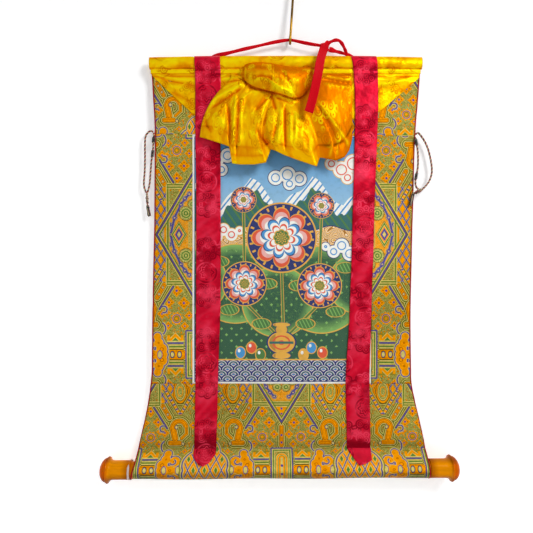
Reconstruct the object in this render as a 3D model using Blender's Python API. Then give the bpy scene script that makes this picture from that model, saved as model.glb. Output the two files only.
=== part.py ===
"""Thangka scroll painting that hangs from a brass wire hook.

Units here are millimetres until place() turns them into metres.  Three scroll coordinates are used:
across (from the scroll's centre line, to the right), down (below the heading's top edge) and out (in
front of the brocade's middle plane).  The world has +Z up, the front faces -Y, and the origin is the
centre of the hook's eye.
"""
import math

import bmesh
import bpy
from mathutils import Vector

# Driving dimensions, millimetres
HOOK_ACROSS = 19.4          # the eye's place on the scroll's width
HOOK_EYE_DOWN = -118.0      # the eye's centre, above the heading
HOOK_WIRE = 4.0             # wire diameter
HOOK_EYE_RADIUS = 7.5       # centre of the wire
HOOK_BEND_RADIUS = 6.3      # of the J, centre of the wire
HOOK_BEND_ACROSS = 14.4
HOOK_BEND_DOWN = -28.9
HOOK_TIP_RISE = 10.0
GAP = 0.3                   # between touching pieces

CLOTH = 1.2                 # brocade with its backing
PICTURE_CLOTH = 0.8
RIBBON_CLOTH = 1.0
VEIL_CLOTH = 1.1
HEADING_LENGTH = (-218.8, 232.1)
HEADING_HEIGHT = 21.0       # the part round the top rod
HEADING_DEPTH = 12.0
HEADING_OUT = 1.0
FLANGE_DOWN = 28.0          # the heading's sewn flat hem ends here
HEADING_BOW = 2.6           # how much the middle stands higher than the ends

TOP_SEAM = (127.3, 131.0)   # down, at the left and at the right panel
BOTTOM_SEAM = 542.8
PICTURE_SIDE = (-148.6, 149.4)
CREASE = 649.0              # the rod pocket's stitched line
ROD_DOWN = 678.6
ROD_OUT = 12.5
ROD_SLOPE = 0.0056          # the right end hangs this much higher, for each mm across
POCKET_RADIUS = 14.6        # outer face of the cloth
ROD_RADIUS = 13.1
ROD_ENDS = (-236.0, 232.0)
LINING_END = (-249.1, -245.7)   # round the left knob, just outside the piping
LINING_RADIUS = 16.1
KNOB_SHOULDERS = (-245.4, 240.5)
KNOB_RADIUS = 15.0
KNOB_RIM = 21.0
KNOB_TIPS = (-296.6, 289.0)

PIPING_RADIUS = 1.2
PIPING_GAP = 0.8
EDGE_INSET = 2.6            # the outline below includes the piping, the brocade stops this far inside it
TAPE_RADIUS = 2.2
BOW_RADIUS = 2.0
TAIL_WIDTH = 14.0
TIE_RADIUS = 1.5

# Outline with its piping: distance down the cloth, left edge, right edge
OUTLINE = (
    (28.3, -215.8, 229.9),
    (71.4, -213.0, 226.6),
    (112.9, -210.8, 223.1),
    (237.4, -211.2, 218.6),
    (403.4, -214.0, 215.0),
    (519.6, -215.4, 215.0),
    (541.2, -217.3, 216.0),
    (569.4, -221.0, 221.1),
    (602.6, -227.5, 228.7),
    (649.0, -238.0, 238.5),
    (675.0, -239.5, 238.3),
    (700.0, -244.0, 239.4),
    (716.0, -244.6, 239.6),
    (770.0, -236.8, 236.4),
)

# Ribbons: distance down the cloth, left edge, right edge
LEFT_RIBBON = (
    (0.0, -143.8, -101.6), (40.0, -142.8, -100.4), (127.0, -142.6, -101.0), (237.0, -141.4, -100.9),
    (403.0, -141.6, -100.8), (486.0, -141.8, -103.6), (520.0, -142.3, -104.7), (649.0, -144.8, -108.0), (690.0, -146.0, -109.6),
)
RIGHT_RIBBON = (
    (0.0, 114.4, 156.0), (14.0, 116.6, 157.8), (32.0, 119.4, 159.2), (105.0, 121.6, 159.4), (237.0, 118.4, 154.4),
    (437.0, 112.0, 148.6), (535.0, 106.3, 146.0), (649.0, 108.0, 147.2), (690.0, 106.6, 145.4),
)
# Ribbon ends: share of the width from the left, distance down the cloth
LEFT_RIBBON_END = ((0.0, 661.0), (0.12, 670.0), (0.3, 678.0), (0.5, 680.5), (0.75, 675.0), (1.0, 659.0))
RIGHT_RIBBON_END = ((0.0, 650.0), (0.22, 666.0), (0.44, 680.5), (0.75, 677.0), (1.0, 671.0))

# The veil's upper part, which the ribbons cross: across, lower edge
VEIL_UPPER_EDGE = (
    (-212.9, 31.5),
    (-190.0, 55.5),
    (-144.0, 98.0),
    (-100.0, 108.0),
    (-40.0, 92.0),
    (10.0, 88.0),
    (60.0, 92.0),
    (115.0, 104.0),
    (160.0, 93.8),
    (200.0, 59.8),
    (227.2, 34.8),
)

# The veil's bunched hood: across, its brim, then its crest and its lip as (down, out)
HOOD = (
    (-91.0, 28.6, (29.8, 8.0), (32.0, 7.5)), (-81.2, 26.6, (29.7, 11.0), (33.7, 9.5)),
    (-71.4, 23.4, (29.9, 14.0), (37.1, 12.0)), (-61.6, 19.1, (32.7, 18.5), (43.2, 15.0)),
    (-51.8, 15.9, (38.2, 25.0), (52.0, 19.0)), (-40.4, 14.6, (42.5, 31.0), (58.0, 23.0)),
    (-25.7, 15.2, (45.8, 34.0), (62.8, 25.0)), (-11.0, 17.2, (48.5, 35.0), (66.7, 26.0)),
    (3.6, 20.1, (49.7, 34.0), (71.2, 26.0)), (20.0, 22.4, (50.2, 31.0), (75.2, 25.0)),
    (34.6, 22.4, (45.0, 26.0), (68.9, 21.0)), (46.0, 23.2, (37.8, 20.0), (54.1, 16.0)),
    (55.8, 24.8, (33.0, 14.0), (41.2, 12.0)), (68.9, 28.1, (31.1, 8.0), (33.7, 7.5)),
    (80.3, 29.2, (31.1, 6.5), (32.6, 6.0)),
)
HOOD_BRIM_OUT = 11.5

# The veil's lobes, left to right: (across, down, out) at each fold's top, middle and hem
FOLDS = (
    ((-83.2, 38.0, 8.0), (-120.8, 86.3, 10.0), (-134.2, 135.5, 10.5)),
    ((-73.1, 42.8, 12.0), (-105.5, 86.3, 15.0), (-121.7, 140.4, 16.0)),
    ((-64.9, 48.5, 14.0), (-90.8, 89.9, 16.0), (-103.7, 146.3, 17.0)),
    ((-60.7, 53.8, 15.0), (-85.0, 96.7, 17.0), (-85.6, 153.5, 20.0)),
    ((-58.2, 57.4, 16.0), (-80.7, 107.7, 21.0), (-80.5, 181.8, 24.0)),
    ((-48.5, 61.5, 16.0), (-66.2, 110.7, 20.0), (-67.6, 183.5, 24.0)),
    ((-32.2, 65.1, 17.0), (-50.0, 114.2, 21.0), (-45.0, 183.6, 24.5)),
    ((-19.2, 66.7, 17.0), (-37.8, 119.3, 22.0), (-25.7, 180.3, 24.0)),
    ((-15.9, 65.7, 12.0), (-32.2, 125.4, 15.0), (-17.6, 156.9, 14.0)),
    ((-13.5, 69.1, 17.0), (-22.5, 118.0, 23.0), (-9.6, 162.3, 26.0)),
    ((-7.9, 76.0, 18.0), (-4.8, 123.4, 25.0), (1.6, 168.1, 27.0)),
    ((3.5, 79.6, 19.0), (12.8, 125.3, 26.0), (22.4, 176.4, 28.0)),
    ((16.5, 80.0, 18.0), (35.3, 128.5, 26.0), (55.9, 187.7, 28.5)),
    ((31.4, 74.2, 13.0), (50.5, 118.5, 19.0), (62.0, 170.7, 17.0)),
    ((51.0, 56.3, 13.0), (71.2, 112.9, 22.0), (87.0, 177.1, 24.0)),
    ((76.2, 36.3, 8.0), (91.4, 101.3, 16.0), (102.6, 169.9, 17.0)),
    ((99.3, 33.6, 6.0), (104.8, 89.3, 11.0), (110.7, 157.4, 12.5)),
    ((114.7, 33.0, 5.0), (116.2, 79.4, 6.5), (116.5, 137.4, 7.5)),
)
VEIL_SEAM_DOWN = 28.6
VEIL_SEAM_OUT = 3.6
TUCK_DEPTH = 7.0            # how far the cloth goes in under the hood's lip
TUCK_RISE = 5.0

# Cord and tape routes: (across, down, out)
TAPE_LONG = (
    (-121.0, 5.0, -8.6), (-115.0, -0.6, -7.6), (-107.0, -3.4, -5.0), (-95.4, -5.4, -2.0),
    (-68.9, -11.2, 0.0), (-43.0, -17.2, 0.0), (-15.8, -23.4, 0.0), (5.0, -27.2, 0.0),
    (14.4, -27.9, 0.0), (22.0, -26.8, 0.2), (35.0, -23.6, 0.8), (50.0, -20.2, 1.8), (63.6, -17.8, 2.6),
)
TAPE_SHORT = (
    (78.6, -11.8, 1.6), (88.8, -9.4, 0.4), (102.1, -6.6, -1.2), (113.0, -4.4, -4.4),
    (121.0, -1.0, -7.4), (129.0, 5.0, -8.6),
)
BOW = (
    (78.4, -19.8, 4.6), (82.0, -22.4, 6.0), (87.7, -24.2, 7.6), (94.5, -22.8, 8.4), (100.5, -16.6, 8.2),
    (105.0, -9.8, 6.4), (109.0, -6.6, 3.6),
)
TAPE_KNOT = (71.6, -16.6, 2.8)
TAPE_KNOT_SIZE = (11.0, 12.0, 8.4)
# The tape's hanging tail: centre line, from the knot to the cut end
TAIL = (
    (69.6, -9.6, 7.6), (66.3, -3.4, 11.0), (62.3, 14.4, 22.0), (57.5, 39.4, 33.0), (52.8, 61.5, 38.0),
    (47.9, 82.6, 39.0), (42.0, 103.5, 38.0),
)
LEFT_TIE_OUTER = (
    (-214.1, 123.3, -3.6), (-218.2, 121.8, -3.8), (-222.5, 124.5, -3.6), (-225.7, 129.3, -3.2),
    (-227.0, 136.0, -3.0), (-227.3, 148.7, -2.8), (-227.3, 170.4, -2.8), (-227.8, 188.7, -2.9),
    (-229.1, 203.6, -3.2), (-229.3, 211.9, -3.4), (-228.4, 218.4, -3.6), (-227.2, 222.0, -3.6),
)
LEFT_TIE_INNER = (
    (-211.2, 127.1, 3.4), (-211.6, 137.9, 3.6), (-212.1, 149.5, 3.6), (-213.0, 161.0, 3.4),
    (-215.1, 171.5, 2.4), (-216.3, 182.0, 1.2), (-217.7, 194.2, -0.2), (-218.8, 205.6, -1.6),
    (-220.6, 215.3, -2.8), (-222.4, 221.4, -3.4), (-222.9, 223.0, -3.5),
)
RIGHT_TIE_OUTER = (
    (225.2, 126.6, -3.4), (227.2, 125.6, -3.6), (229.5, 126.1, -3.8), (233.1, 130.5, -3.6),
    (238.7, 139.2, -3.4), (243.6, 150.3, -3.2), (246.9, 162.0, -3.0), (249.3, 173.7, -2.8),
    (250.6, 185.4, -2.8), (249.7, 195.4, -2.6), (246.1, 204.9, -1.6), (240.7, 212.5, 0.4), (234.8, 218.3, 3.2),
    (232.9, 219.8, 4.1),
)
RIGHT_TIE_INNER = (
    (220.9, 134.4, 3.4), (222.0, 141.2, 3.6), (223.9, 149.5, 3.8), (225.0, 158.7, 4.0), (225.4, 171.9, 4.2),
    (224.8, 184.5, 4.6), (222.9, 194.5, 5.0), (221.2, 203.5, 5.2), (220.6, 211.1, 5.4), (221.6, 216.0, 5.6),
)
# Knots on the ties: centre, then size across, down and out, then turn in degrees
LEFT_TIE_KNOT = ((-223.8, 236.4, -3.6), (7.2, 20.4, 6.4), 0.0)
RIGHT_TIE_KNOT = ((224.4, 224.5, 5.9), (7.2, 13.0, 6.4), 62.0)
# Tassels: (across, down, out) of the head's top and of the strands' tips, and the head's width
LEFT_TASSEL = ((-223.2, 248.4, -3.4), (-219.5, 264.6, -2.8), 5.2)
RIGHT_TASSEL = ((215.8, 230.4, 6.2), (212.2, 248.0, 5.8), 5.2)
TASSEL_HEAD = 0.28          # share of its length
TASSEL_ROWS = 3             # strands each way


def place(across, down, out):
    """Scroll coordinates in millimetres to world coordinates in metres."""
    return Vector((across - HOOK_ACROSS, -out, HOOK_EYE_DOWN - down)) * 0.001


def table_at(rows, x):
    """Smooth value through the rows (x, value, ...) of a table."""
    x = min(max(x, rows[0][0]), rows[-1][0])
    i = 0
    while i < len(rows) - 2 and x > rows[i + 1][0]:
        i += 1
    before, low, high, after = rows[max(i - 1, 0)], rows[i], rows[i + 1], rows[min(i + 2, len(rows) - 1)]
    step = high[0] - low[0]
    f = (x - low[0]) / step
    values = []
    for k in range(1, len(low)):
        slope_low = (high[k] - before[k]) / (high[0] - before[0]) * step
        slope_high = (after[k] - low[k]) / (after[0] - low[0]) * step
        values.append(
            (2 * f ** 3 - 3 * f ** 2 + 1) * low[k] + (f ** 3 - 2 * f ** 2 + f) * slope_low
            + (3 * f ** 2 - 2 * f ** 3) * high[k] + (f ** 3 - f ** 2) * slope_high)
    return values


def route_at(points, f):
    """Point at share f of a smooth curve through the points."""
    span = f * (len(points) - 1)
    return Vector(table_at([(i, *p) for i, p in enumerate(points)], span))


def even_route(points, step):
    """Points about one step apart along the smooth curve through a route."""
    fine = [route_at(points, i / 400) for i in range(401)]
    along = [0.0]
    for a, b in zip(fine, fine[1:]):
        along.append(along[-1] + (b - a).length)
    count = max(4, round(along[-1] / step))
    rows = [(d, *p) for d, p in zip(along, fine)]
    return [Vector(table_at(rows, along[-1] * i / count)) for i in range(count + 1)]


def material(name, colour, roughness, metallic=0.0):
    """Plain Principled material."""
    finish = bpy.data.materials.new(name)
    finish.use_nodes = True
    shader = finish.node_tree.nodes["Principled BSDF"]
    shader.inputs["Base Color"].default_value = (*colour, 1.0)
    shader.inputs["Roughness"].default_value = roughness
    shader.inputs["Metallic"].default_value = metallic
    finish.diffuse_color = (*colour, 1.0)
    return finish


def add_object(name, mesh_or_curve, finish):
    """Link one finished sub-part to the scene."""
    piece = bpy.data.objects.new(name, mesh_or_curve)
    piece.data.materials.append(finish)
    bpy.context.collection.objects.link(piece)
    return piece


def finish_mesh(name, bm, finish, recalculate=True):
    """Turn a bmesh into an object with smooth shading and sharp edges."""
    if recalculate:
        bmesh.ops.recalc_face_normals(bm, faces=bm.faces)
        if bm.calc_volume(signed=True) < 0:
            bmesh.ops.reverse_faces(bm, faces=bm.faces)
    mesh = bpy.data.meshes.new(name)
    bm.to_mesh(mesh)
    bm.free()
    mesh.shade_smooth()
    mesh.set_sharp_from_angle(angle=math.radians(40))
    return add_object(name, mesh, finish)


def cloth(name, surface, columns, rows, thickness, finish):
    """Sheet of cloth whose front face is surface(u, v); u runs right and v runs down, both 0 to 1."""
    bm = bmesh.new()
    bmesh.ops.create_grid(bm, x_segments=columns, y_segments=rows, size=1.0)
    for vert in bm.verts:
        vert.co = place(*surface((vert.co.x + 1) / 2, (1 - vert.co.y) / 2))
    piece = finish_mesh(name, bm, finish, recalculate=False)
    wall = piece.modifiers.new("thickness", "SOLIDIFY")
    wall.thickness = thickness * 0.001
    wall.offset = -1.0
    return piece


def closed_tube(name, ring, steps, sides, finish):
    """Solid whose skin is ring(u, turn), closed by flat ends; u runs 0 to 1 and turn 0 to 2 pi."""
    bm = bmesh.new()
    bmesh.ops.create_grid(bm, x_segments=steps, y_segments=sides, size=1.0)
    for vert in bm.verts:
        turn = math.pi * (vert.co.y + 1)
        vert.co = place(*ring((vert.co.x + 1) / 2, turn))
    bmesh.ops.remove_doubles(bm, verts=bm.verts, dist=0.00001)
    bmesh.ops.holes_fill(bm, edges=bm.edges, sides=0)
    return finish_mesh(name, bm, finish)


def cord(name, route, radius, step, finish, sides=8):
    """Round cord along a smooth route, with a point each step, or through the route's own points."""
    curve = bpy.data.curves.new(name, "CURVE")
    curve.dimensions = "3D"
    curve.bevel_depth = radius * 0.001
    curve.bevel_resolution = sides // 2 - 2
    curve.use_fill_caps = True
    points = even_route(route, step) if step else route
    spline = curve.splines.new("POLY")
    spline.points.add(len(points) - 1)
    for knot, point in zip(spline.points, points):
        knot.co = (*place(*point), 1.0)
    return add_object(name, curve, finish)


def pocket_path():
    """Front face of the rod pocket as (distance, out, down) from the crease round to the stitching."""
    start = Vector((CLOTH / 2, CREASE))
    centre = Vector((ROD_OUT, ROD_DOWN))
    to_centre = centre - start
    spread = math.asin(POCKET_RADIUS / to_centre.length)
    lean = math.atan2(to_centre.x, to_centre.y)
    reach = math.sqrt(to_centre.length ** 2 - POCKET_RADIUS ** 2)
    front = start + Vector((math.sin(lean + spread), math.cos(lean + spread))) * reach
    first = math.atan2(front.y - centre.y, front.x - centre.x)
    last = math.radians(182)
    points = [start, start.lerp(front, 0.5)]
    arc_steps = 16
    for i in range(arc_steps + 1):
        turn = first + (last - first) * i / arc_steps
        points.append(centre + Vector((math.cos(turn), math.sin(turn))) * POCKET_RADIUS)
    stitch = Vector((-CLOTH / 2 - GAP - CLOTH, CREASE + 3.0))
    points.append(points[-1].lerp(stitch, 0.5))
    points.append(stitch)
    path = [(0.0, *points[0])]
    for a, b in zip(points, points[1:]):
        path.append((path[-1][0] + (b - a).length, *b))
    return path


POCKET = pocket_path()


def straight_at(rows, x):
    """Value on the straight lines through a table's rows."""
    x = min(max(x, rows[0][0]), rows[-1][0])
    for low, high in zip(rows, rows[1:]):
        if x <= high[0]:
            f = (x - low[0]) / (high[0] - low[0])
            return [a + (b - a) * f for a, b in zip(low[1:], high[1:])]
    return list(rows[-1][1:])


def brocade_edges(along):
    """Left and right edge of the brocade itself, inside its piping."""
    left, right = table_at(OUTLINE, along)
    return left + EDGE_INSET, right - EDGE_INSET


def on_brocade(across, along, lift=0.0):
    """Point on the brocade's front face, at a distance along the cloth and lifted off it."""
    if along < CREASE - 0.01:
        tilt = max(0.0, (along - BOTTOM_SEAM) / (CREASE - BOTTOM_SEAM))
        return across, along - ROD_SLOPE * across * tilt, CLOTH / 2 + lift
    step = 0.4
    here = Vector(straight_at(POCKET, along - CREASE))
    below = Vector(straight_at(POCKET, along - CREASE + step))
    above = Vector(straight_at(POCKET, along - CREASE - step))
    if along < CREASE + step:
        above = here - Vector((0.0, step))
    into, away = (here - above).normalized(), (below - here).normalized()
    if (below - here).length < step / 4:
        away = into
    way = (into + away).normalized()
    mitre = lift / max(0.5, way.dot(into))
    return across, here.y - mitre * way.x - ROD_SLOPE * across, here.x + mitre * way.y


def heading_top(across):
    """How far down the heading's top edge is: the middle stands higher than the ends."""
    middle = (HEADING_LENGTH[0] + HEADING_LENGTH[1]) / 2
    half = (HEADING_LENGTH[1] - HEADING_LENGTH[0]) / 2
    return 1.2 - HEADING_BOW * (1 - ((across - middle) / half) ** 2)


def top_seam(across):
    """How far down the seam under the top panel is; it runs a little out of level."""
    return TOP_SEAM[0] + (TOP_SEAM[1] - TOP_SEAM[0]) * (across - OUTLINE[2][1]) / (OUTLINE[2][2] - OUTLINE[2][1])


def make_hook(finish):
    """Brass wire with a closed eye above and a J bend that holds the tape."""
    route = []
    eye_steps = 26
    for i in range(eye_steps + 1):
        turn = math.radians(242 - 307 * i / eye_steps)
        route.append((HOOK_ACROSS + HOOK_EYE_RADIUS * math.cos(turn),
                      HOOK_EYE_DOWN - HOOK_EYE_RADIUS * math.sin(turn), 0.0))
    neck = HOOK_EYE_DOWN + HOOK_EYE_RADIUS
    route += [(HOOK_ACROSS + 0.5, neck + 2.4, 0.0), (HOOK_ACROSS, neck + 6.0, 0.2)]
    for f in (0.2, 0.5, 0.8, 1.0):
        route.append((HOOK_ACROSS + (HOOK_BEND_ACROSS - HOOK_ACROSS) * f,
                      neck + 6.0 + (HOOK_BEND_DOWN - neck - 6.0) * f, HOOK_BEND_RADIUS * f))
    bend_steps = 8
    for i in range(1, bend_steps + 1):
        turn = math.pi * i / bend_steps
        route.append((HOOK_BEND_ACROSS, HOOK_BEND_DOWN + HOOK_BEND_RADIUS * math.sin(turn),
                      HOOK_BEND_RADIUS * math.cos(turn)))
    route.append((HOOK_BEND_ACROSS, HOOK_BEND_DOWN - HOOK_TIP_RISE, -HOOK_BEND_RADIUS - 0.4))
    cord("hook", route, HOOK_WIRE / 2, 2.6, finish)


def make_heading(finish):
    """Sleeve round the top rod, with the flat hem that is sewn on under it."""
    def ring(u, turn):
        across = HEADING_LENGTH[0] + (HEADING_LENGTH[1] - HEADING_LENGTH[0]) * u
        half_height, half_depth = HEADING_HEIGHT / 2, HEADING_DEPTH / 2
        down = half_height + half_height * math.sin(turn)
        out = HEADING_OUT + half_depth * math.cos(turn)
        hem = max(0.0, math.sin(turn) - 0.75) / 0.25
        if hem > 0:
            out = HEADING_OUT * (1 - hem) + (1.1 if math.cos(turn) >= 0 else -1.1) * (1 if hem < 1 else 0)
            down += hem * (FLANGE_DOWN - HEADING_HEIGHT - 0.3)
        return across, down + heading_top(across) * (1 - down / FLANGE_DOWN), out
    closed_tube("heading", ring, 24, 20, finish)


def make_top_panel(finish):
    """Brocade above the picture, over the whole width."""
    def surface(u, v):
        left, right = brocade_edges(OUTLINE[0][0] + (TOP_SEAM[0] - OUTLINE[0][0]) * v)
        across = left + (right - left) * u
        return on_brocade(across, OUTLINE[0][0] + (top_seam(across) - GAP - OUTLINE[0][0]) * v)
    cloth("top_panel", surface, 12, 6, CLOTH, finish)


def make_side_panel(name, finish, is_left):
    """Brocade beside the picture."""
    def surface(u, v):
        left, right = brocade_edges(TOP_SEAM[0] + (BOTTOM_SEAM - TOP_SEAM[0]) * v)
        if is_left:
            right = PICTURE_SIDE[0]
        else:
            left = PICTURE_SIDE[1]
        across = left + (right - left) * u
        top = top_seam(across)
        return on_brocade(across, top + (BOTTOM_SEAM - top) * v)
    cloth(name, surface, 3, 16, CLOTH, finish)


def make_bottom_panel(finish):
    """Brocade under the picture, which ends in the rod's pocket."""
    top = BOTTOM_SEAM + GAP
    stations = [top + (CREASE - top) * i / 6 for i in range(7)]
    stations += [CREASE + row[0] for row in POCKET[1:]]

    def surface(u, v):
        along = stations[round(v * (len(stations) - 1))]
        left, right = brocade_edges(along)
        return on_brocade(left + (right - left) * u, along)
    cloth("bottom_panel", surface, 16, len(stations) - 1, CLOTH, finish)


def make_picture(finish):
    """Painted cloth with its plain white edge."""
    left, right = PICTURE_SIDE[0] + GAP, PICTURE_SIDE[1] - GAP

    def surface(u, v):
        across = left + (right - left) * u
        top = top_seam(across)
        return across, top + (BOTTOM_SEAM - top) * v, PICTURE_CLOTH / 2
    cloth("painting", surface, 6, 8, PICTURE_CLOTH, finish)


def make_piping(name, finish, side):
    """Thin red piping along one edge of the brocade, down and round the pocket."""
    offset = (PIPING_GAP + PIPING_RADIUS) * side
    route = []
    last = CREASE + POCKET[-6][0]
    stations = [OUTLINE[0][0] + (CREASE - OUTLINE[0][0]) * i / 14 for i in range(15)]
    stations += [CREASE + row[0] for row in POCKET[1:] if CREASE + row[0] <= last]
    for along in stations:
        edge = brocade_edges(along)[0 if side < 0 else 1]
        route.append(on_brocade(edge + offset, along))
    cord(name, route, PIPING_RADIUS, None, finish)


def ribbon_ride():
    """Front face of a ribbon over the heading, as (distance, out, down) from its crown."""
    points = []
    swell = RIBBON_CLOTH + 2 * GAP
    for degrees in (86, 70, 54, 38, 20, 0, -20, -38, -52):
        turn = math.radians(degrees)
        points.append(Vector((HEADING_OUT + (HEADING_DEPTH / 2 + swell) * math.cos(turn),
                              HEADING_HEIGHT / 2 - (HEADING_HEIGHT / 2 + swell) * math.sin(turn))))
    points += [Vector((4.3, 23.5)), Vector((3.9, 29.0)), Vector((3.8, 60.0)), Vector((3.8, 100.0)),
               Vector((3.4, 112.0)), Vector((2.3, 122.0)), Vector((CLOTH / 2 + GAP + RIBBON_CLOTH, 132.0))]
    path = [(0.0, *points[0])]
    for a, b in zip(points, points[1:]):
        path.append((path[-1][0] + (b - a).length, *b))
    return path


RIDE = ribbon_ride()


def make_ribbon(name, edges, end, finish):
    """Crimson ribbon from the heading's crown down to its cut end on the pocket."""
    lift = GAP + RIBBON_CLOTH
    flat_start = RIDE[-1][2]
    flat = [flat_start + (CREASE - flat_start) * i / 10 for i in range(1, 11)]
    tail_rows = 5
    count = len(RIDE) + len(flat) + tail_rows

    def surface(u, v):
        i = round(v * (count - 1))
        if i < len(RIDE):
            distance, out, down = RIDE[i]
            left, right = table_at(edges, max(0.0, down))
            across = left + (right - left) * u
            return across, down + heading_top(across) * max(0.0, 1 - down / FLANGE_DOWN), out
        i -= len(RIDE)
        if i < len(flat):
            along = flat[i]
        else:
            stop = straight_at(end, u)[0]
            along = CREASE + (stop - CREASE) * (i - len(flat) + 1) / tail_rows
        left, right = table_at(edges, along)
        return on_brocade(left + (right - left) * u, along, lift)
    cloth(name, surface, 6, count - 1, RIBBON_CLOTH, finish)


def make_veil_upper(finish):
    """The veil where it is sewn on, flat under the ribbons."""
    def surface(u, v):
        left, right = VEIL_UPPER_EDGE[0][0], VEIL_UPPER_EDGE[-1][0]
        across = left + (right - left) * u
        low = straight_at(VEIL_UPPER_EDGE, across)[0]
        down = 28.4 + (low - 28.4) * v
        return across, down, CLOTH / 2 + GAP + VEIL_CLOTH
    cloth("veil_upper", surface, 28, 4, VEIL_CLOTH, finish)


def veil_column(u):
    """Points of one fold of the veil, from its seam over the hood to its hem."""
    rows = [(i, *top, *middle, *hem) for i, (top, middle, hem) in enumerate(FOLDS)]
    values = table_at(rows, u * (len(FOLDS) - 1))
    top, middle = Vector(values[0:3]), Vector(values[3:6])
    hem = Vector(straight_at(rows, u * (len(FOLDS) - 1))[6:9])
    across = top.x
    hood_rows = [(row[0], row[1], *row[2], *row[3]) for row in HOOD]
    brim, crest_down, crest_out, lip_down, lip_out = table_at(hood_rows, across)
    seam = Vector((across, VEIL_SEAM_DOWN, VEIL_SEAM_OUT))
    bunched = [
        Vector((across, brim + 5.0, HOOD_BRIM_OUT - 3.0)),
        Vector((across, brim, HOOD_BRIM_OUT + 2.5)),
        Vector((across, (brim + crest_down) / 2 - 4.0, HOOD_BRIM_OUT + (crest_out - HOOD_BRIM_OUT) * 0.75)),
        Vector((across, crest_down, crest_out)),
        Vector((across, lip_down, lip_out)),
        Vector((across, lip_down - TUCK_RISE, lip_out - TUCK_DEPTH)),
    ]
    full = min(1.0, max(0.0, (crest_out - HOOD_BRIM_OUT) / 8.0))
    flat = [seam.lerp(top, (i + 1) / (len(bunched) + 1)) for i in range(len(bunched))]
    hood = [low.lerp(high, full) for low, high in zip(flat, bunched)]
    return [seam, *hood, top, (top * 3 + middle * 6 - hem) / 8, middle, (middle * 6 + hem * 3 - top) / 8, hem]


def make_veil_gather(finish):
    """The veil's bunched middle: the hood over the heading and the lobes that spread below it."""
    columns = 3 * (len(FOLDS) - 1)
    rows = 22

    def surface(u, v):
        return route_at(veil_column(u), v)
    cloth("veil_gather", surface, columns, rows, VEIL_CLOTH, finish)


def turned(name, profile, finish, segments=32):
    """Solid turned about the rod's axis from a profile of (across, radius)."""
    bm = bmesh.new()
    verts = [bm.verts.new((across, 0.0, radius)) for across, radius in profile]
    edges = [bm.edges.new(pair) for pair in zip(verts, verts[1:])]
    bmesh.ops.spin(bm, geom=verts + edges, cent=(0, 0, 0), axis=(1, 0, 0), angle=2 * math.pi, steps=segments,
                   use_merge=True)
    bmesh.ops.remove_doubles(bm, verts=bm.verts, dist=0.001)
    for vert in bm.verts:
        across, toward_back, up = vert.co
        vert.co = place(across, ROD_DOWN - up - ROD_SLOPE * across, ROD_OUT - toward_back)
    return finish_mesh(name, bm, finish)


def knob_profile(inner, shoulder, outer, side):
    """Neck, cylinder, cove, rim and domed end of a roller knob, from its flat inner face outwards."""
    cove, dome = 8.5, 13.0
    rim = outer - dome * side
    points = [(inner, 0.0), (inner, ROD_RADIUS - 0.6), (inner + 0.6 * side, ROD_RADIUS), (shoulder, ROD_RADIUS),
              (shoulder, KNOB_RADIUS - 0.6), (shoulder + 0.6 * side, KNOB_RADIUS)]
    cove_start = rim - (cove + 2.0) * side
    for i in range(5):
        turn = math.pi / 2 * i / 4
        points.append((cove_start + cove * math.sin(turn) * side,
                       KNOB_RADIUS + (KNOB_RIM - KNOB_RADIUS) * (1 - math.cos(turn))))
    points.append((rim, KNOB_RIM))
    for i in range(7):
        turn = math.pi / 2 * i / 6
        points.append((rim + (0.8 + (dome - 0.8) * math.sin(turn)) * side, (KNOB_RIM - 1.4) * math.cos(turn)))
    return points


def make_roller(wood, lining, amber):
    """Bottom rod, the lining's end that shows at the left, and the two knobs."""
    bevel = 0.8
    start, stop = ROD_ENDS
    turned("bottom_rod", [(start, 0.0), (start, ROD_RADIUS - bevel), (start + bevel, ROD_RADIUS),
                          (stop - bevel, ROD_RADIUS), (stop, ROD_RADIUS - bevel), (stop, 0.0)], wood)
    start, stop = LINING_END
    turned("lining_end", [(start, KNOB_RADIUS + GAP), (start, LINING_RADIUS), (stop, LINING_RADIUS),
                          (stop, KNOB_RADIUS + GAP), (start, KNOB_RADIUS + GAP)], lining)
    turned("left_knob", knob_profile(ROD_ENDS[0] - GAP, KNOB_SHOULDERS[0], KNOB_TIPS[0], -1), amber)
    turned("right_knob", knob_profile(ROD_ENDS[1] + GAP, KNOB_SHOULDERS[1], KNOB_TIPS[1], 1), amber)


def make_lump(name, centre, size, turn, finish, ridges=0):
    """Rounded knot with its wraps raised as ridges."""
    bm = bmesh.new()
    bmesh.ops.create_uvsphere(bm, u_segments=12, v_segments=10, radius=1.0)
    spin = math.radians(turn)
    for vert in bm.verts:
        x, y, z = vert.co
        swell = 1 + 0.1 * math.cos(ridges * math.pi * z) if ridges else 1.0
        across, down, out = x * swell * size[0] / 2, -z * size[1] / 2, y * swell * size[2] / 2
        vert.co = place(centre[0] + across * math.cos(spin) - down * math.sin(spin),
                        centre[1] + across * math.sin(spin) + down * math.cos(spin), centre[2] + out)
    return finish_mesh(name, bm, finish)


def make_tail(finish):
    """The tape's free end, a flat strip in front of the veil."""
    def surface(u, v):
        point = route_at(TAIL, v)
        ahead = route_at(TAIL, min(1.0, v + 0.02)) - route_at(TAIL, max(0.0, v - 0.02))
        sideways = Vector((ahead.y, -ahead.x, 0.0)).normalized()
        width = TAIL_WIDTH * (0.62 + 0.38 * min(1.0, v / 0.12))
        return point + sideways * width * (u - 0.5)
    cloth("hanger_tail", surface, 3, 14, RIBBON_CLOTH, finish)


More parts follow.
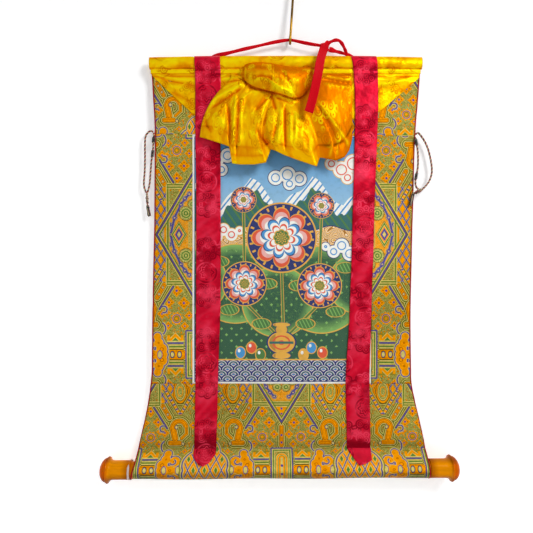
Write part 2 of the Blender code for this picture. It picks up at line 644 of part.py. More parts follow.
def make_tassel(name, top, tip, width, finish):
    """Small yarn tassel: a bound head, and strands that part below it."""
    head, foot = Vector(top), Vector(tip)
    way = foot - head
    neck = head + way * TASSEL_HEAD
    side = Vector((way.y, -way.x, 0.0)).normalized()
    front = Vector((0.0, 0.0, 1.0))
    bm = bmesh.new()
    bmesh.ops.create_grid(bm, x_segments=TASSEL_ROWS, y_segments=TASSEL_ROWS, size=1.0)
    for vert in bm.verts:
        vert.co = neck + side * vert.co.x * width / 2 + front * vert.co.y * width / 2
    strands = list(bm.faces)
    border = [edge for edge in bm.edges if edge.is_boundary]
    grown = bmesh.ops.extrude_edge_only(bm, edges=border)["geom"]
    rim = [item for item in grown if isinstance(item, bmesh.types.BMVert)]
    for vert in rim:
        vert.co = head + (vert.co - neck) * 0.6
    bmesh.ops.holes_fill(bm, edges=[item for item in grown if isinstance(item, bmesh.types.BMEdge)], sides=0)
    bmesh.ops.inset_individual(bm, faces=strands, thickness=width * 0.07, depth=0.0)
    for i, strand in enumerate(bmesh.ops.extrude_discrete_faces(bm, faces=strands)["faces"]):
        spread = (strand.calc_center_median() - neck) * 0.35
        reach = way * (1 - TASSEL_HEAD) * (1.0 - 0.06 * (i * 5 % 4))
        for vert in strand.verts:
            vert.co += reach + spread
    for vert in bm.verts:
        vert.co = place(*vert.co)
    return finish_mesh(name, bm, finish)


def main():
    """Clear the scene and make every sub-part."""
    for old in list(bpy.data.objects):
        bpy.data.objects.remove(old)
    brass = material("brass wire", (0.62, 0.42, 0.12), 0.3, 1.0)
    gold_silk = material("golden silk damask", (0.92, 0.55, 0.01), 0.35)
    brocade = material("olive and gold brocade", (0.36, 0.30, 0.09), 0.5)
    painted = material("painted cotton", (0.10, 0.30, 0.16), 0.7)
    crimson = material("crimson satin damask", (0.50, 0.01, 0.04), 0.4)
    dark_red = material("dark red piping", (0.28, 0.01, 0.03), 0.5)
    bright_red = material("bright red tape", (0.66, 0.01, 0.02), 0.6)
    wood = material("plain wood", (0.55, 0.40, 0.24), 0.6)
    linen = material("off-white lining", (0.80, 0.68, 0.64), 0.8)
    amber = material("amber lacquer", (0.70, 0.24, 0.01), 0.15)
    yarn = material("red and green twisted yarn", (0.40, 0.16, 0.08), 0.8)

    make_hook(brass)
    make_heading(gold_silk)
    make_top_panel(brocade)
    make_side_panel("left_panel", brocade, True)
    make_side_panel("right_panel", brocade, False)
    make_bottom_panel(brocade)
    make_picture(painted)
    make_piping("left_piping", dark_red, -1)
    make_piping("right_piping", dark_red, 1)
    make_ribbon("left_ribbon", LEFT_RIBBON, LEFT_RIBBON_END, crimson)
    make_ribbon("right_ribbon", RIGHT_RIBBON, RIGHT_RIBBON_END, crimson)
    make_veil_upper(gold_silk)
    make_veil_gather(gold_silk)
    make_roller(wood, linen, amber)
    cord("hanger_long", TAPE_LONG, TAPE_RADIUS, 6.0, bright_red)
    cord("hanger_short", TAPE_SHORT, TAPE_RADIUS, 6.0, bright_red)
    cord("hanger_bow", BOW, BOW_RADIUS, 5.0, bright_red)
    make_lump("hanger_knot", TAPE_KNOT, TAPE_KNOT_SIZE, 20.0, bright_red)
    make_tail(bright_red)
    for name, route in (("left_tie_outer", LEFT_TIE_OUTER), ("left_tie_inner", LEFT_TIE_INNER),
                        ("right_tie_outer", RIGHT_TIE_OUTER), ("right_tie_inner", RIGHT_TIE_INNER)):
        cord(name, route, TIE_RADIUS, 5.0, yarn)
    make_lump("left_tie_knot", *LEFT_TIE_KNOT, yarn, ridges=5)
    make_lump("right_tie_knot", *RIGHT_TIE_KNOT, yarn, ridges=3)
    make_tassel("left_tie_tassel", *LEFT_TASSEL, yarn)
    make_tassel("right_tie_tassel", *RIGHT_TASSEL, yarn)


main()
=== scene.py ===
"""Cloth, cords and finishes of a hanging thangka scroll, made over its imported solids.

Lengths below are millimetres until place() turns them into metres. Three scroll coordinates are used:
across (from the scroll's centre line, to the right), down (below the heading's top edge, measured along the
cloth where it lies on the rod's pocket) and out (in front of the brocade's middle plane).
"""
import functools
import math

import bmesh
import bpy
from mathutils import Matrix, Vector, noise


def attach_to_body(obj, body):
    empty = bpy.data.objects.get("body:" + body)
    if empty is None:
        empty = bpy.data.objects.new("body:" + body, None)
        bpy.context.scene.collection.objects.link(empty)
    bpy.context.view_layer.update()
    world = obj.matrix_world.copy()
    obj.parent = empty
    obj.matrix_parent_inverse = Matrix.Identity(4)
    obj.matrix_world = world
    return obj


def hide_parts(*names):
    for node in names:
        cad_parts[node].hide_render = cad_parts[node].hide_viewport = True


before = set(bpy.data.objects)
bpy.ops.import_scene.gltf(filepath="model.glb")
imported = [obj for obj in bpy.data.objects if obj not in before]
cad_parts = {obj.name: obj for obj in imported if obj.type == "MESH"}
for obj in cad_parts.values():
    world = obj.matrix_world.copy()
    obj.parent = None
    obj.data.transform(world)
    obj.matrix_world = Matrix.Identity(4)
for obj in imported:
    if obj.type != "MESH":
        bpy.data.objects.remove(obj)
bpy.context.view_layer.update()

bl_info = {
    "name": "Thangka Scroll Dresser",
    "version": (1, 0, 0),
    "blender": (4, 5, 0),
    "location": "3D View > Sidebar > Thangka",
    "description": "Makes the cloth, the cords and the finishes of a hanging scroll painting",
    "category": "Object",
}

# Where things are on the scroll, millimetres
PHOTO_MM = 1.66             # millimetres on the cloth for one pixel of the photograph
PHOTO_MIDDLE = 266.5        # of the photograph, pixels across and down
SCROLL_LEFT = 15.0          # pixels from there to the scroll's centre line
SCROLL_UP = 209.5           # and up to the heading's top edge
CAMERA_MM = 800.0           # from the camera to the brocade's middle plane
HOOK_ACROSS = 19.4
HOOK_EYE_DOWN = -118.0
HOOK_EYE_RADIUS = 7.5
HOOK_BEND_RADIUS = 6.3
HOOK_BEND_ACROSS = 14.4
HOOK_BEND_DOWN = -28.9
HOOK_TIP_RISE = 10.0
HEADING_LENGTH = (-218.8, 232.1)
HEADING_HEIGHT = 21.0
HEADING_DEPTH = 12.0
HEADING_OUT = 1.0
FLANGE_DOWN = 28.0
HEADING_BOW = 2.6
TOP_SEAM = (127.3, 131.0)
BOTTOM_SEAM = 542.8
PICTURE_SIDE = (-148.6, 149.4)
CREASE = 649.0
ROD_DOWN = 678.6
ROD_OUT = 12.5
ROD_SLOPE = 0.0056
POCKET_RADIUS = 14.6
ROD_RADIUS = 13.1
ROD_ENDS = (-236.0, 232.0)
KNOB_SHOULDERS = (-245.4, 240.5)
KNOB_RADIUS = 15.0
KNOB_RIM = 21.0
KNOB_TIPS = (-296.6, 289.0)
RIBBON_MIDDLES = (-122.7, 135.2)    # across, where they cross the heading
GAP = 0.3                   # between touching pieces
CLOTH = 1.2                 # brocade with its backing

# Outline with its piping: distance down the cloth, left edge, right edge
OUTLINE = (
    (28.3, -215.8, 229.9), (71.4, -213, 226.6), (112.9, -210.8, 223.1), (237.4, -211.2, 218.6),
    (403.4, -214, 215), (519.6, -215.4, 215), (541.2, -217.3, 216), (569.4, -221, 221.1),
    (602.6, -227.5, 228.7), (649, -238, 238.5), (675, -239.5, 238.3), (700, -244, 239.4),
    (716, -244.6, 239.6), (730, -240, 238.8), (770, -236.8, 236.4),
)
# Ribbons: distance down the cloth, left edge, right edge
LEFT_RIBBON = (
    (0, -143.8, -101.6), (40, -142.8, -100.4), (127, -142.6, -101), (237, -141.4, -100.9),
    (403, -141.6, -100.8), (486, -141.8, -103.6), (520, -142.3, -104.7), (649, -144.8, -108),
    (690, -146, -109.6),
)
RIGHT_RIBBON = (
    (0, 114.4, 156), (14, 116.6, 157.8), (32, 119.4, 159.2), (105, 121.6, 159.4), (237, 118.4, 154.4),
    (437, 112, 148.6), (535, 106.3, 146), (649, 108, 147.2), (690, 106.6, 145.4),
)
# Ribbon ends: share of the width from the left, distance down the cloth
LEFT_RIBBON_END = ((0, 661), (0.12, 670), (0.3, 678), (0.5, 680.5), (0.75, 675), (1, 659))
RIGHT_RIBBON_END = ((0, 650), (0.22, 666), (0.44, 680.5), (0.75, 677), (1, 671))
# The veil's upper part, which the ribbons cross: across, lower edge
VEIL_UPPER_EDGE = (
    (-214.6, 31.5), (-190, 55.5), (-144, 98), (-100, 108), (-40, 92), (10, 88), (60, 92), (115, 104),
    (160, 93.8), (200, 59.8), (228.6, 34.8),
)
# The veil's bunched hood: across, its brim, then its crest and its lip as (down, out)
HOOD = (
    (-91, 28.6, (29.8, 8), (32, 7.5)), (-81.2, 26.6, (29.7, 11), (33.7, 9.5)),
    (-71.4, 23.4, (29.9, 14), (37.1, 12)), (-61.6, 19.1, (32.7, 18.5), (43.2, 15)),
    (-51.8, 15.9, (38.2, 25), (52, 19)), (-40.4, 14.6, (42.5, 31), (58, 23)),
    (-25.7, 15.2, (45.8, 34), (62.8, 25)), (-11, 17.2, (48.5, 35), (66.7, 26)),
    (3.6, 20.1, (49.7, 34), (71.2, 26)), (20, 22.4, (50.2, 31), (75.2, 25)),
    (34.6, 22.4, (45, 26), (68.9, 21)),
    (46, 23.2, (37.8, 20), (54.1, 16)), (55.8, 24.8, (33, 14), (41.2, 12)),
    (68.9, 28.1, (31.1, 8), (33.7, 7.5)), (80.3, 29.2, (31.1, 6.5), (32.6, 6)),
)
# The veil's lobes, left to right: (across, down, out) at each fold's top, middle and hem
FOLDS = (
    ((-83.2, 38, 8), (-120.8, 86.3, 10), (-134.2, 135.5, 10.5)),
    ((-73.1, 42.8, 12), (-105.5, 86.3, 15), (-121.7, 140.4, 16)),
    ((-64.9, 48.5, 14), (-90.8, 89.9, 16), (-103.7, 146.3, 17)),
    ((-60.7, 53.8, 15), (-85, 96.7, 17), (-85.6, 153.5, 20)),
    ((-58.2, 57.4, 16), (-80.7, 107.7, 21), (-80.5, 181.8, 24)),
    ((-48.5, 61.5, 16), (-66.2, 110.7, 20), (-67.6, 183.5, 24)),
    ((-32.2, 65.1, 17), (-50, 114.2, 21), (-45, 183.6, 24.5)),
    ((-19.2, 66.7, 17), (-37.8, 119.3, 22), (-25.7, 180.3, 24)),
    ((-15.9, 65.7, 12), (-32.2, 125.4, 15), (-17.6, 156.9, 14)),
    ((-13.5, 69.1, 17), (-22.5, 118, 23), (-9.6, 162.3, 26)),
    ((-7.9, 76, 18), (-4.8, 123.4, 25), (1.6, 168.1, 27)),
    ((3.5, 79.6, 19), (12.8, 125.3, 26), (22.4, 176.4, 28)),
    ((16.5, 80, 18), (35.3, 128.5, 26), (55.9, 187.7, 28.5)),
    ((31.4, 74.2, 13), (50.5, 118.5, 19), (62, 170.7, 17)),
    ((51, 56.3, 13), (71.2, 112.9, 22), (87, 177.1, 24)),
    ((76.2, 36.3, 8), (91.4, 101.3, 16), (102.6, 169.9, 17)),
    ((99.3, 33.6, 6), (104.8, 89.3, 11), (110.7, 157.4, 12.5)),
    ((114.7, 33, 5), (116.2, 79.4, 6.5), (116.5, 137.4, 7.5)),
)
# The veil's creases: height, width to the left and right of the way, then the line in photograph pixels
CREASES = (
    (2.6, 1.6, 1.6, ((207, 111), (214, 99), (226, 92), (238, 86), (245, 82))),
    (2.2, 1.2, 1.2, ((224, 99), (234, 90), (244, 84))),
    (-3, 1.2, 1.6, ((209, 110), (222, 101), (234, 93), (243, 87))),
    (-2, 1.5, 1.5, ((205, 118), (207, 126), (212, 133))), (2.2, 3, 3, ((214, 112), (221, 119), (224, 128))),
    (-3.4, 1.1, 1.6, ((227, 102), (229, 120), (229.5, 146))),
    (3.2, 1.4, 1.1, ((236, 92), (234, 118), (233.5, 146))),
    (-3.2, 1, 1.3, ((238.5, 94), (237.5, 120), (236, 158))),
    (1.8, 1, 2.2, ((241.5, 96), (240.5, 118), (240, 150))),
    (1.8, 1.2, 1.2, ((241, 104), (244, 97), (251, 92), (262, 91))),
    (-2.6, 3, 2, ((270, 95), (262, 103), (254, 112))), (3.6, 1.2, 1.2, ((271, 97), (265, 108), (259, 124))),
    (-3.6, 1.2, 1.6, ((257, 128), (261, 137), (269, 146))),
    (-3.2, 1.2, 1.2, ((271.5, 95), (274, 104), (276, 110))),
    (-2.6, 1.2, 1.4, ((278, 112), (275, 130), (272, 146))),
    (2.8, 1.1, 1.1, ((281, 106), (279.5, 125), (277, 146))),
    (-3.6, 1.2, 1.2, ((285, 104), (285, 124), (285.5, 152))),
    (2.8, 1, 1.2, ((289.5, 108), (290.5, 126), (290, 143))),
    (2, 1, 1.2, ((296, 110), (296, 128), (294.5, 143))), (-1.6, 1.5, 2, ((302, 130), (308, 140), (306, 150))),
    (3.8, 1.2, 1.6, ((316, 99), (326, 113), (337, 127), (346, 141), (349, 147))),
    (-4, 2, 1.4, ((316, 104), (325, 116), (333, 131), (340, 148))),
    (2.2, 1.4, 1.4, ((333, 142), (331, 150), (329, 158))),
    (1.8, 1.2, 1.2, ((339, 140), (337, 149), (337, 156))),
    (3.4, 1.8, 2.4, ((250, 82), (258, 78.5), (267, 79), (273, 83), (281, 89), (292, 94), (300, 97))),
    (-3, 1, 1.4, ((251, 79.5), (261, 75.5), (269, 77), (275, 82), (283, 87))),
    (-2.6, 1, 1, ((247, 85), (256, 88.5), (268, 90.5), (282, 96))),
    (-2.6, 1, 1.6, ((281, 68), (286, 77), (293, 87))),
    (-3, 1.2, 1, ((292, 91), (299, 97), (304, 93), (310, 84), (313, 74))),
    (2.2, 0.9, 0.9, ((274, 93), (284, 98), (296, 101))),
    (-2.2, 0.8, 0.8, ((275, 97), (285, 101), (296, 104))),
    (-2.6, 1.2, 1.2, ((232, 71), (240, 75), (245, 80), (247, 86))),
    (2, 1, 1, ((221, 79), (232, 78), (243, 77))), (-2, 0.8, 0.8, ((221, 83), (232, 81), (243, 79))),
    (1.8, 0.9, 0.9, ((221, 89), (230, 85), (241, 81))),
    (-2.6, 0.9, 1.4, ((155, 77), (170, 81), (186, 84), (196, 86))),
    (1.8, 1.2, 1.2, ((154, 75.5), (172, 78), (193, 81))), (1.6, 1.6, 1.6, ((166, 85), (182, 88), (196, 93))),
    (-1.4, 1.6, 1.6, ((172, 92), (184, 98), (194, 106))), (2, 1.2, 1, ((322, 76), (336, 78), (352, 81))),
    (-2.2, 1, 1.4, ((322, 79), (338, 82), (352, 84))), (2.2, 1.6, 1, ((322, 83), (338, 86), (352, 88))),
    (-2, 1.2, 1.2, ((378, 80), (395, 79), (412, 76))), (1.8, 1.4, 1.4, ((378, 84), (392, 83), (404, 80))),
    (1.4, 1.6, 1.6, ((378, 96), (388, 92), (396, 88))),
)
VEIL_SEAM_DOWN = 28.6
VEIL_SEAM_OUT = 3.6
HOOD_FLAT_OUT = 11.5        # a crest that stands out no further than this isn't bunched

# Cord and tape routes: (across, down, out)
TAPE_LONG = (
    (-121, 5, -8.6), (-115, -0.6, -7.6), (-107, -3.4, -5), (-95.4, -5.4, -2), (-68.9, -11.2, 0),
    (-43, -17.2, 0), (-15.8, -23.4, 0), (5, -27.2, 0), (14.4, -27.9, 0), (22, -26.8, 0.2), (35, -23.6, 0.8),
    (50, -20.2, 1.8), (63.6, -17.8, 2.6),
)
TAPE_SHORT = (
    (78.6, -11.8, 1.6), (88.8, -9.4, 0.4), (102.1, -6.6, -1.2), (113, -4.4, -4.4), (121, -1, -7.4),
    (129, 5, -8.6),
)
BOW = (
    (74.6, -18.2, 4.4), (80.4, -21.8, 6), (87.7, -24, 7.6), (94.5, -22.8, 8.4), (100, -16.6, 8.2),
    (104, -9.8, 6.4), (107.4, -3.6, 3.6),
)
TAPE_KNOT = (71.6, -16.6, 2.8)
TAIL = (
    (71.4, -16.4, 9.4), (68, -6, 12), (62.3, 14.4, 22), (57.5, 39.4, 33), (52.8, 61.5, 38), (47.9, 82.6, 39),
    (42, 103.5, 38),
)
LEFT_TIE_OUTER = (
    (-214.1, 123.3, -3.2), (-218.2, 121.8, -3.8), (-222.5, 124.5, -3.6), (-225.7, 129.3, -3.2),
    (-227, 136, -3), (-227.3, 148.7, -2.8), (-227.3, 170.4, -2.8), (-227.8, 188.7, -2.9),
    (-229.1, 203.6, -3.2), (-229.3, 211.9, -3.4), (-227.8, 219.2, -3.6), (-225.5, 224.5, -3.6),
)
LEFT_TIE_INNER = (
    (-211.2, 127.1, 3.4), (-211.6, 137.9, 3.6), (-212.1, 149.5, 3.6), (-213, 161, 3.4), (-215.1, 171.5, 2.4),
    (-216.3, 182, 1.2), (-217.7, 194.2, -0.2), (-218.8, 205.6, -1.6), (-220.6, 215.3, -2.8),
    (-222.6, 221.9, -3.4), (-223.7, 225.5, -3.6),
)
RIGHT_TIE_OUTER = (
    (223.5, 127.7, -3), (226.4, 125.2, -3.6), (229.5, 126.1, -3.8), (233.1, 130.5, -3.6),
    (238.7, 139.2, -3.4), (243.6, 150.3, -3.2), (246.9, 162, -3), (249.3, 173.7, -2.8), (250.6, 185.4, -2.8),
    (249.7, 195.4, -2.6), (246.1, 204.9, -1.6), (240.7, 212.5, 0.4), (234.8, 218.3, 3.2), (230.9, 221.3, 5.2),
)
RIGHT_TIE_INNER = (
    (220.9, 134.4, 3.4), (222, 141.2, 3.6), (223.9, 149.5, 3.8), (225, 158.7, 4), (225.4, 171.9, 4.2),
    (224.8, 184.5, 4.6), (222.9, 194.5, 5), (221.2, 203.5, 5.2), (220.6, 211.1, 5.4), (222.2, 217.1, 5.6),
    (225.8, 220.1, 5.8),
)
# Side knots: top and bottom on the yarn, radius; then the small bindings further up, and the tassels with
# the head's top, the middle of the strands' tips and the width
LEFT_TIE_KNOT = ((-224.3, 225.8, -3.6), (-223.3, 246.6, -3.6), 3)
RIGHT_TIE_KNOT = ((230.2, 221.4, 5.9), (218.6, 227.6, 5.9), 3.6)
LEFT_BINDINGS = (((-212.7, 156.2, 3.5), (-213.8, 167.2, 3)), ((-211.5, 134.6, 3.6), (-212, 143.2, 3.6)))
RIGHT_BINDINGS = (((221.5, 137.1, 3.6), (223.4, 147, 3.8)), ((223, 193.9, 5), (221, 204.5, 5.3)))
LEFT_TASSEL = ((-223.3, 246, -3.4), (-219.5, 264.6, -2.8), 5.4)
RIGHT_TASSEL = ((217.2, 225.6, 6.2), (212.2, 248, 5.8), 5.4)


# ---------------------------------------------------------------- places on the scroll

def place(across, down, out):
    """Scroll coordinates in millimetres to world coordinates in metres."""
    return Vector((across - HOOK_ACROSS, -out, HOOK_EYE_DOWN - down)) * 0.001


def ease(low, high, x):
    """Smooth step from 0 at low to 1 at high."""
    f = min(1.0, max(0.0, (x - low) / (high - low)))
    return f * f * (3 - 2 * f)


def plateau(x, rise_from, rise_to, fall_from, fall_to):
    """Smooth step up from 0 to 1, and down again further on."""
    return ease(rise_from, rise_to, x) * (1 - ease(fall_from, fall_to, x))


def hump(x, centre, width):
    """1 at the centre, falling off smoothly to both sides."""
    return math.exp(-((x - centre) / width) ** 2)


def rumple(x, y, z):
    """Smooth noise from about -1 to 1 at a place."""
    return noise.noise(Vector((x, y, z)))


def mm(name):
    """One of the panel's sizes in millimetres."""
    return getattr(bpy.context.scene.scroll_sizes, name) * 1000


def table_at(rows, x):
    """Smooth value through the rows (x, value, ...) of a table."""
    x = min(max(x, rows[0][0]), rows[-1][0])
    i = 0
    while i < len(rows) - 2 and x > rows[i + 1][0]:
        i += 1
    before, low, high, after = rows[max(i - 1, 0)], rows[i], rows[i + 1], rows[min(i + 2, len(rows) - 1)]
    step = high[0] - low[0]
    f = (x - low[0]) / step
    stay, leave = 2 * f ** 3 - 3 * f ** 2 + 1, f ** 3 - 2 * f ** 2 + f
    arrive = f ** 3 - f ** 2
    values = []
    for k in range(1, len(low)):
        slope_low = (high[k] - before[k]) / (high[0] - before[0]) * step
        slope_high = (after[k] - low[k]) / (after[0] - low[0]) * step
        values.append(stay * low[k] + leave * slope_low + (1 - stay) * high[k] + arrive * slope_high)
    return values


def straight_at(rows, x):
    """Value on the straight lines through a table's rows."""
    x = min(max(x, rows[0][0]), rows[-1][0])
    for low, high in zip(rows, rows[1:]):
        if x <= high[0]:
            f = (x - low[0]) / (high[0] - low[0])
            return [a + (b - a) * f for a, b in zip(low[1:], high[1:])]
    return list(rows[-1][1:])


def route_at(points, f):
    """Point at share f of a smooth curve through the points."""
    return Vector(table_at([(i, *p) for i, p in enumerate(points)], f * (len(points) - 1)))


def even_route(points, step):
    """Points about one step apart along the smooth curve through a route."""
    fine = [route_at(points, i / 400) for i in range(401)]
    along = [0.0]
    for a, b in zip(fine, fine[1:]):
        along.append(along[-1] + (b - a).length)
    count = max(4, round(along[-1] / step))
    rows = [(d, *p) for d, p in zip(along, fine)]
    return [Vector(table_at(rows, along[-1] * i / count)) for i in range(count + 1)]


def ripple(across, down):
    """How far the flat cloth stands out of its plane: slow waves that every layer shares."""
    height = mm("ripple")
    wave = math.sin(down / 47.0 + across / 120.0) + 0.7 * math.sin(across / 38.0 + down / 95.0 + 1.3)
    wave += 0.5 * math.sin(down / 21.0 - across / 60.0 + 0.6)
    return height * wave * plateau(down, 20, 90, 585, 640)


def pocket_path():
    """Front face of the rod pocket as (distance, out, down) from the crease round to the stitching."""
    start = Vector((CLOTH / 2, CREASE))
    centre = Vector((ROD_OUT, ROD_DOWN))
    to_centre = centre - start
    spread = math.asin(POCKET_RADIUS / to_centre.length)
    lean = math.atan2(to_centre.x, to_centre.y)
    reach = math.sqrt(to_centre.length ** 2 - POCKET_RADIUS ** 2)
    front = start + Vector((math.sin(lean + spread), math.cos(lean + spread))) * reach
    first = math.atan2(front.y - centre.y, front.x - centre.x)
    last = math.radians(182)
    points = [start, start.lerp(front, 0.5)]
    arc_steps = 28
    for i in range(arc_steps + 1):
        turn = first + (last - first) * i / arc_steps
        points.append(centre + Vector((math.cos(turn), math.sin(turn))) * POCKET_RADIUS)
    stitch = Vector((-CLOTH / 2 - GAP - CLOTH, CREASE + 3.0))
    points += [points[-1].lerp(stitch, f) for f in (0.25, 0.5, 0.75, 1.0)]
    path = [(0.0, *points[0])]
    for a, b in zip(points, points[1:]):
        path.append((path[-1][0] + (b - a).length, *b))
    return path


POCKET = pocket_path()


def on_brocade(across, along, lift=0.0):
    """Point on the brocade's front face, at a distance along the cloth and lifted off it."""
    if along < CREASE - 0.01:
        tilt = max(0.0, (along - BOTTOM_SEAM) / (CREASE - BOTTOM_SEAM))
        dent = 0.5 * ease(CREASE - 9, CREASE, along)
        out = CLOTH / 2 + lift + ripple(across, along) - dent
        return Vector((across, along - ROD_SLOPE * across * tilt, out))
    step = 0.4
    here = Vector(straight_at(POCKET, along - CREASE))
    below = Vector(straight_at(POCKET, along - CREASE + step))
    above = Vector(straight_at(POCKET, along - CREASE - step))
    if along < CREASE + step:
        above = here - Vector((0.0, step))
    into, away = (here - above).normalized(), (below - here).normalized()
    if (below - here).length < step / 4:
        away = into
    way = (into + away).normalized()
    slack = 0.5 * math.sin(across / 31.0) * plateau(along, CREASE + 2, CREASE + 14, 710, 730)
    mitre = (lift + slack) / max(0.5, way.dot(into))
    return Vector((across, here.y - mitre * way.x - ROD_SLOPE * across, here.x + mitre * way.y))


def heading_top(across):
    """How far down the heading's top edge is: high in the middle, pressed down under the ribbons."""
    left, right = HEADING_LENGTH
    middle, half = (left + right) / 2, (right - left) / 2
    pressed = sum(ease(27, 20, abs(across - ribbon)) for ribbon in RIBBON_MIDDLES)
    return 1.2 - HEADING_BOW * (1 - ((across - middle) / half) ** 2) + 0.8 * pressed


def top_seam(across):
    """How far down the seam under the top panel is; it runs a little out of level."""
    _, left, right = OUTLINE[2]
    return TOP_SEAM[0] + (TOP_SEAM[1] - TOP_SEAM[0]) * (across - left) / (right - left)


# ---------------------------------------------------------------- meshes

def finish_mesh(name, bm, finishes, closed=True, crease=40):
    """Turn a bmesh into a smooth-shaded object that carries the given materials."""
    if closed:
        bmesh.ops.recalc_face_normals(bm, faces=bm.faces)
        if bm.calc_volume(signed=True) < 0:
            bmesh.ops.reverse_faces(bm, faces=bm.faces)
    mesh = bpy.data.meshes.new(name)
    bm.to_mesh(mesh)
    bm.free()
    mesh.shade_smooth()
    mesh.set_sharp_from_angle(angle=math.radians(crease))
    piece = bpy.data.objects.new(name, mesh)
    for finish in finishes:
        mesh.materials.append(finish)
    bpy.context.collection.objects.link(piece)
    return piece


def cloth(name, surface, columns, rows, thickness, front, back=None):
    """Sheet whose front is surface(u, v) -> (point, place on the flat cloth and how much painted light or
    shade it takes).
    """
    bm = bmesh.new()
    bmesh.ops.create_grid(bm, x_segments=columns, y_segments=rows, size=1.0)
    lay = bm.verts.layers.float_vector.new("lay")
    for vert in bm.verts:
        point, flat = surface((vert.co.x + 1) / 2, (1 - vert.co.y) / 2)
        vert.co = place(*point)
        vert[lay] = (*flat, 0.0)[:3]
    piece = finish_mesh(name, bm, [front, back] if back else [front], closed=False)
    wall = piece.modifiers.new("thickness", "SOLIDIFY")
    wall.thickness = thickness * 0.001
    wall.offset = -1.0
    wall.material_offset = 1 if back else 0
    return piece


def frames_along(points):
    """Tangent, side and front directions at each point of a route, carried along without twist."""
    frames = []
    front = Vector((0.0, 0.0, 1.0))
    for i in range(len(points)):
        tangent = (points[min(i + 1, len(points) - 1)] - points[max(i - 1, 0)]).normalized()
        front = (front - tangent * front.dot(tangent)).normalized()
        frames.append((tangent, tangent.cross(front), front))
    return frames


def sweep(bm, points, section, sides, ply=0.0):
    """Add a closed tube along points; section(f, turn) is its (side, front) offset at share f of the way."""
    lay = bm.verts.layers.float_vector.get("lay") or bm.verts.layers.float_vector.new("lay")
    frames = frames_along(points)
    steps = len(points) - 1
    verts = bmesh.ops.create_grid(bm, x_segments=steps, y_segments=sides, size=1.0)["verts"]
    travelled = [0.0]
    for a, b in zip(points, points[1:]):
        travelled.append(travelled[-1] + (b - a).length)
    for vert in verts:
        i = round((vert.co.x + 1) / 2 * steps)
        turn = math.pi * (vert.co.y + 1)
        side, front = section(i / steps, turn)
        _, sideways, forward = frames[i]
        vert[lay] = (turn, travelled[i], ply)
        vert.co = place(*(points[i] + sideways * side + forward * front))
    edges = {edge for vert in verts for edge in vert.link_edges}
    bmesh.ops.remove_doubles(bm, verts=verts, dist=0.000005)
    rim = [edge for edge in edges if edge.is_valid and edge.is_boundary]
    bmesh.ops.holes_fill(bm, edges=rim, sides=0)


def round_section(radius, flare=None):
    """Section of a round cord; flare(f) scales it along its way."""
    def section(f, turn):
        r = radius * (flare(f) if flare else 1.0)
        return r * math.cos(turn), r * math.sin(turn)
    return section


def metres(points):
    return [tuple(place(*p)) for p in points]


def length_of(points):
    """Length of a route in metres."""
    return sum((b - a).length for a, b in zip(points, points[1:])) * 0.001


def attach(piece, node):
    """Fix a piece on the scroll's body, in the place of its solid."""
    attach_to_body(piece, "root")
    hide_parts(node)
    return piece


# ---------------------------------------------------------------- finishes

def srgb(red, green, blue):
    """Linear colour of a display colour given from 0 to 255."""
    return tuple(c / 255 / 12.92 if c <= 10 else ((c / 255 + 0.055) / 1.055) ** 2.4
                 for c in (red, green, blue))


def darker(colour, share):
    """A colour with this share of its light."""
    return tuple(c * share for c in colour)


class Wire:
    """One value in a material: arithmetic on it adds the nodes that work it out."""

    def __init__(self, tree, socket):
        self.tree = tree
        self.socket = socket

    def node(self, kind, inputs, out=0, **settings):
        """Add a shader node to the same material; inputs maps its sockets to numbers, colours or values."""
        node = self.tree.nodes.new("ShaderNode" + kind)
        for name, value in settings.items():
            setattr(node, name, value)
        for key, value in inputs.items():
            socket = node.inputs[key]
            if isinstance(value, Wire):
                self.tree.links.new(value.socket, socket)
            elif socket.type == "RGBA":
                socket.default_value = (*value[:3], 1.0)
            else:
                socket.default_value = value
        return Wire(self.tree, node.outputs[out])

    def math(self, operation, *others, clamp=False):
        return self.node("Math", dict(enumerate((self, *others))), operation=operation, use_clamp=clamp)

    def vector(self, operation, *others):
        single = operation in ("DOT_PRODUCT", "LENGTH", "DISTANCE")
        return self.node("VectorMath", dict(enumerate((self, *others))), out=1 if single else 0,
                         operation=operation)

    def __add__(self, other):
        return self.math("ADD", other)

    def __sub__(self, other):
        return self.math("SUBTRACT", other)

    def __rsub__(self, other):
        return self.node("Math", {0: other, 1: self}, operation="SUBTRACT")

    def __mul__(self, other):
        return self.math("MULTIPLY", other)

    def __truediv__(self, other):
        return self.math("DIVIDE", other)

    def __abs__(self):
        return self.math("ABSOLUTE")

    def __lt__(self, other):
        return self.math("LESS_THAN", other)

    def __gt__(self, other):
        return self.math("GREATER_THAN", other)

    def __and__(self, other):
        return self.math("MULTIPLY", other)

    def __or__(self, other):
        return self.math("MAXIMUM", other)

    __radd__, __rmul__ = __add__, __mul__

    def near(self, centre, reach):
        """1 within reach of centre, otherwise 0."""
        return self.math("COMPARE", centre, reach)

    def fold(self, half):
        """Runs up and down between 0 and half."""
        return self.math("PINGPONG", half)

    def span(self, low, high, start=0.0, end=1.0):
        """Runs from start to end as the value goes from low to high."""
        return self.node("MapRange", {0: self, 1: low, 2: high, 3: start, 4: end})

    def part(self, index):
        return self.node("SeparateXYZ", {0: self}, out=index)


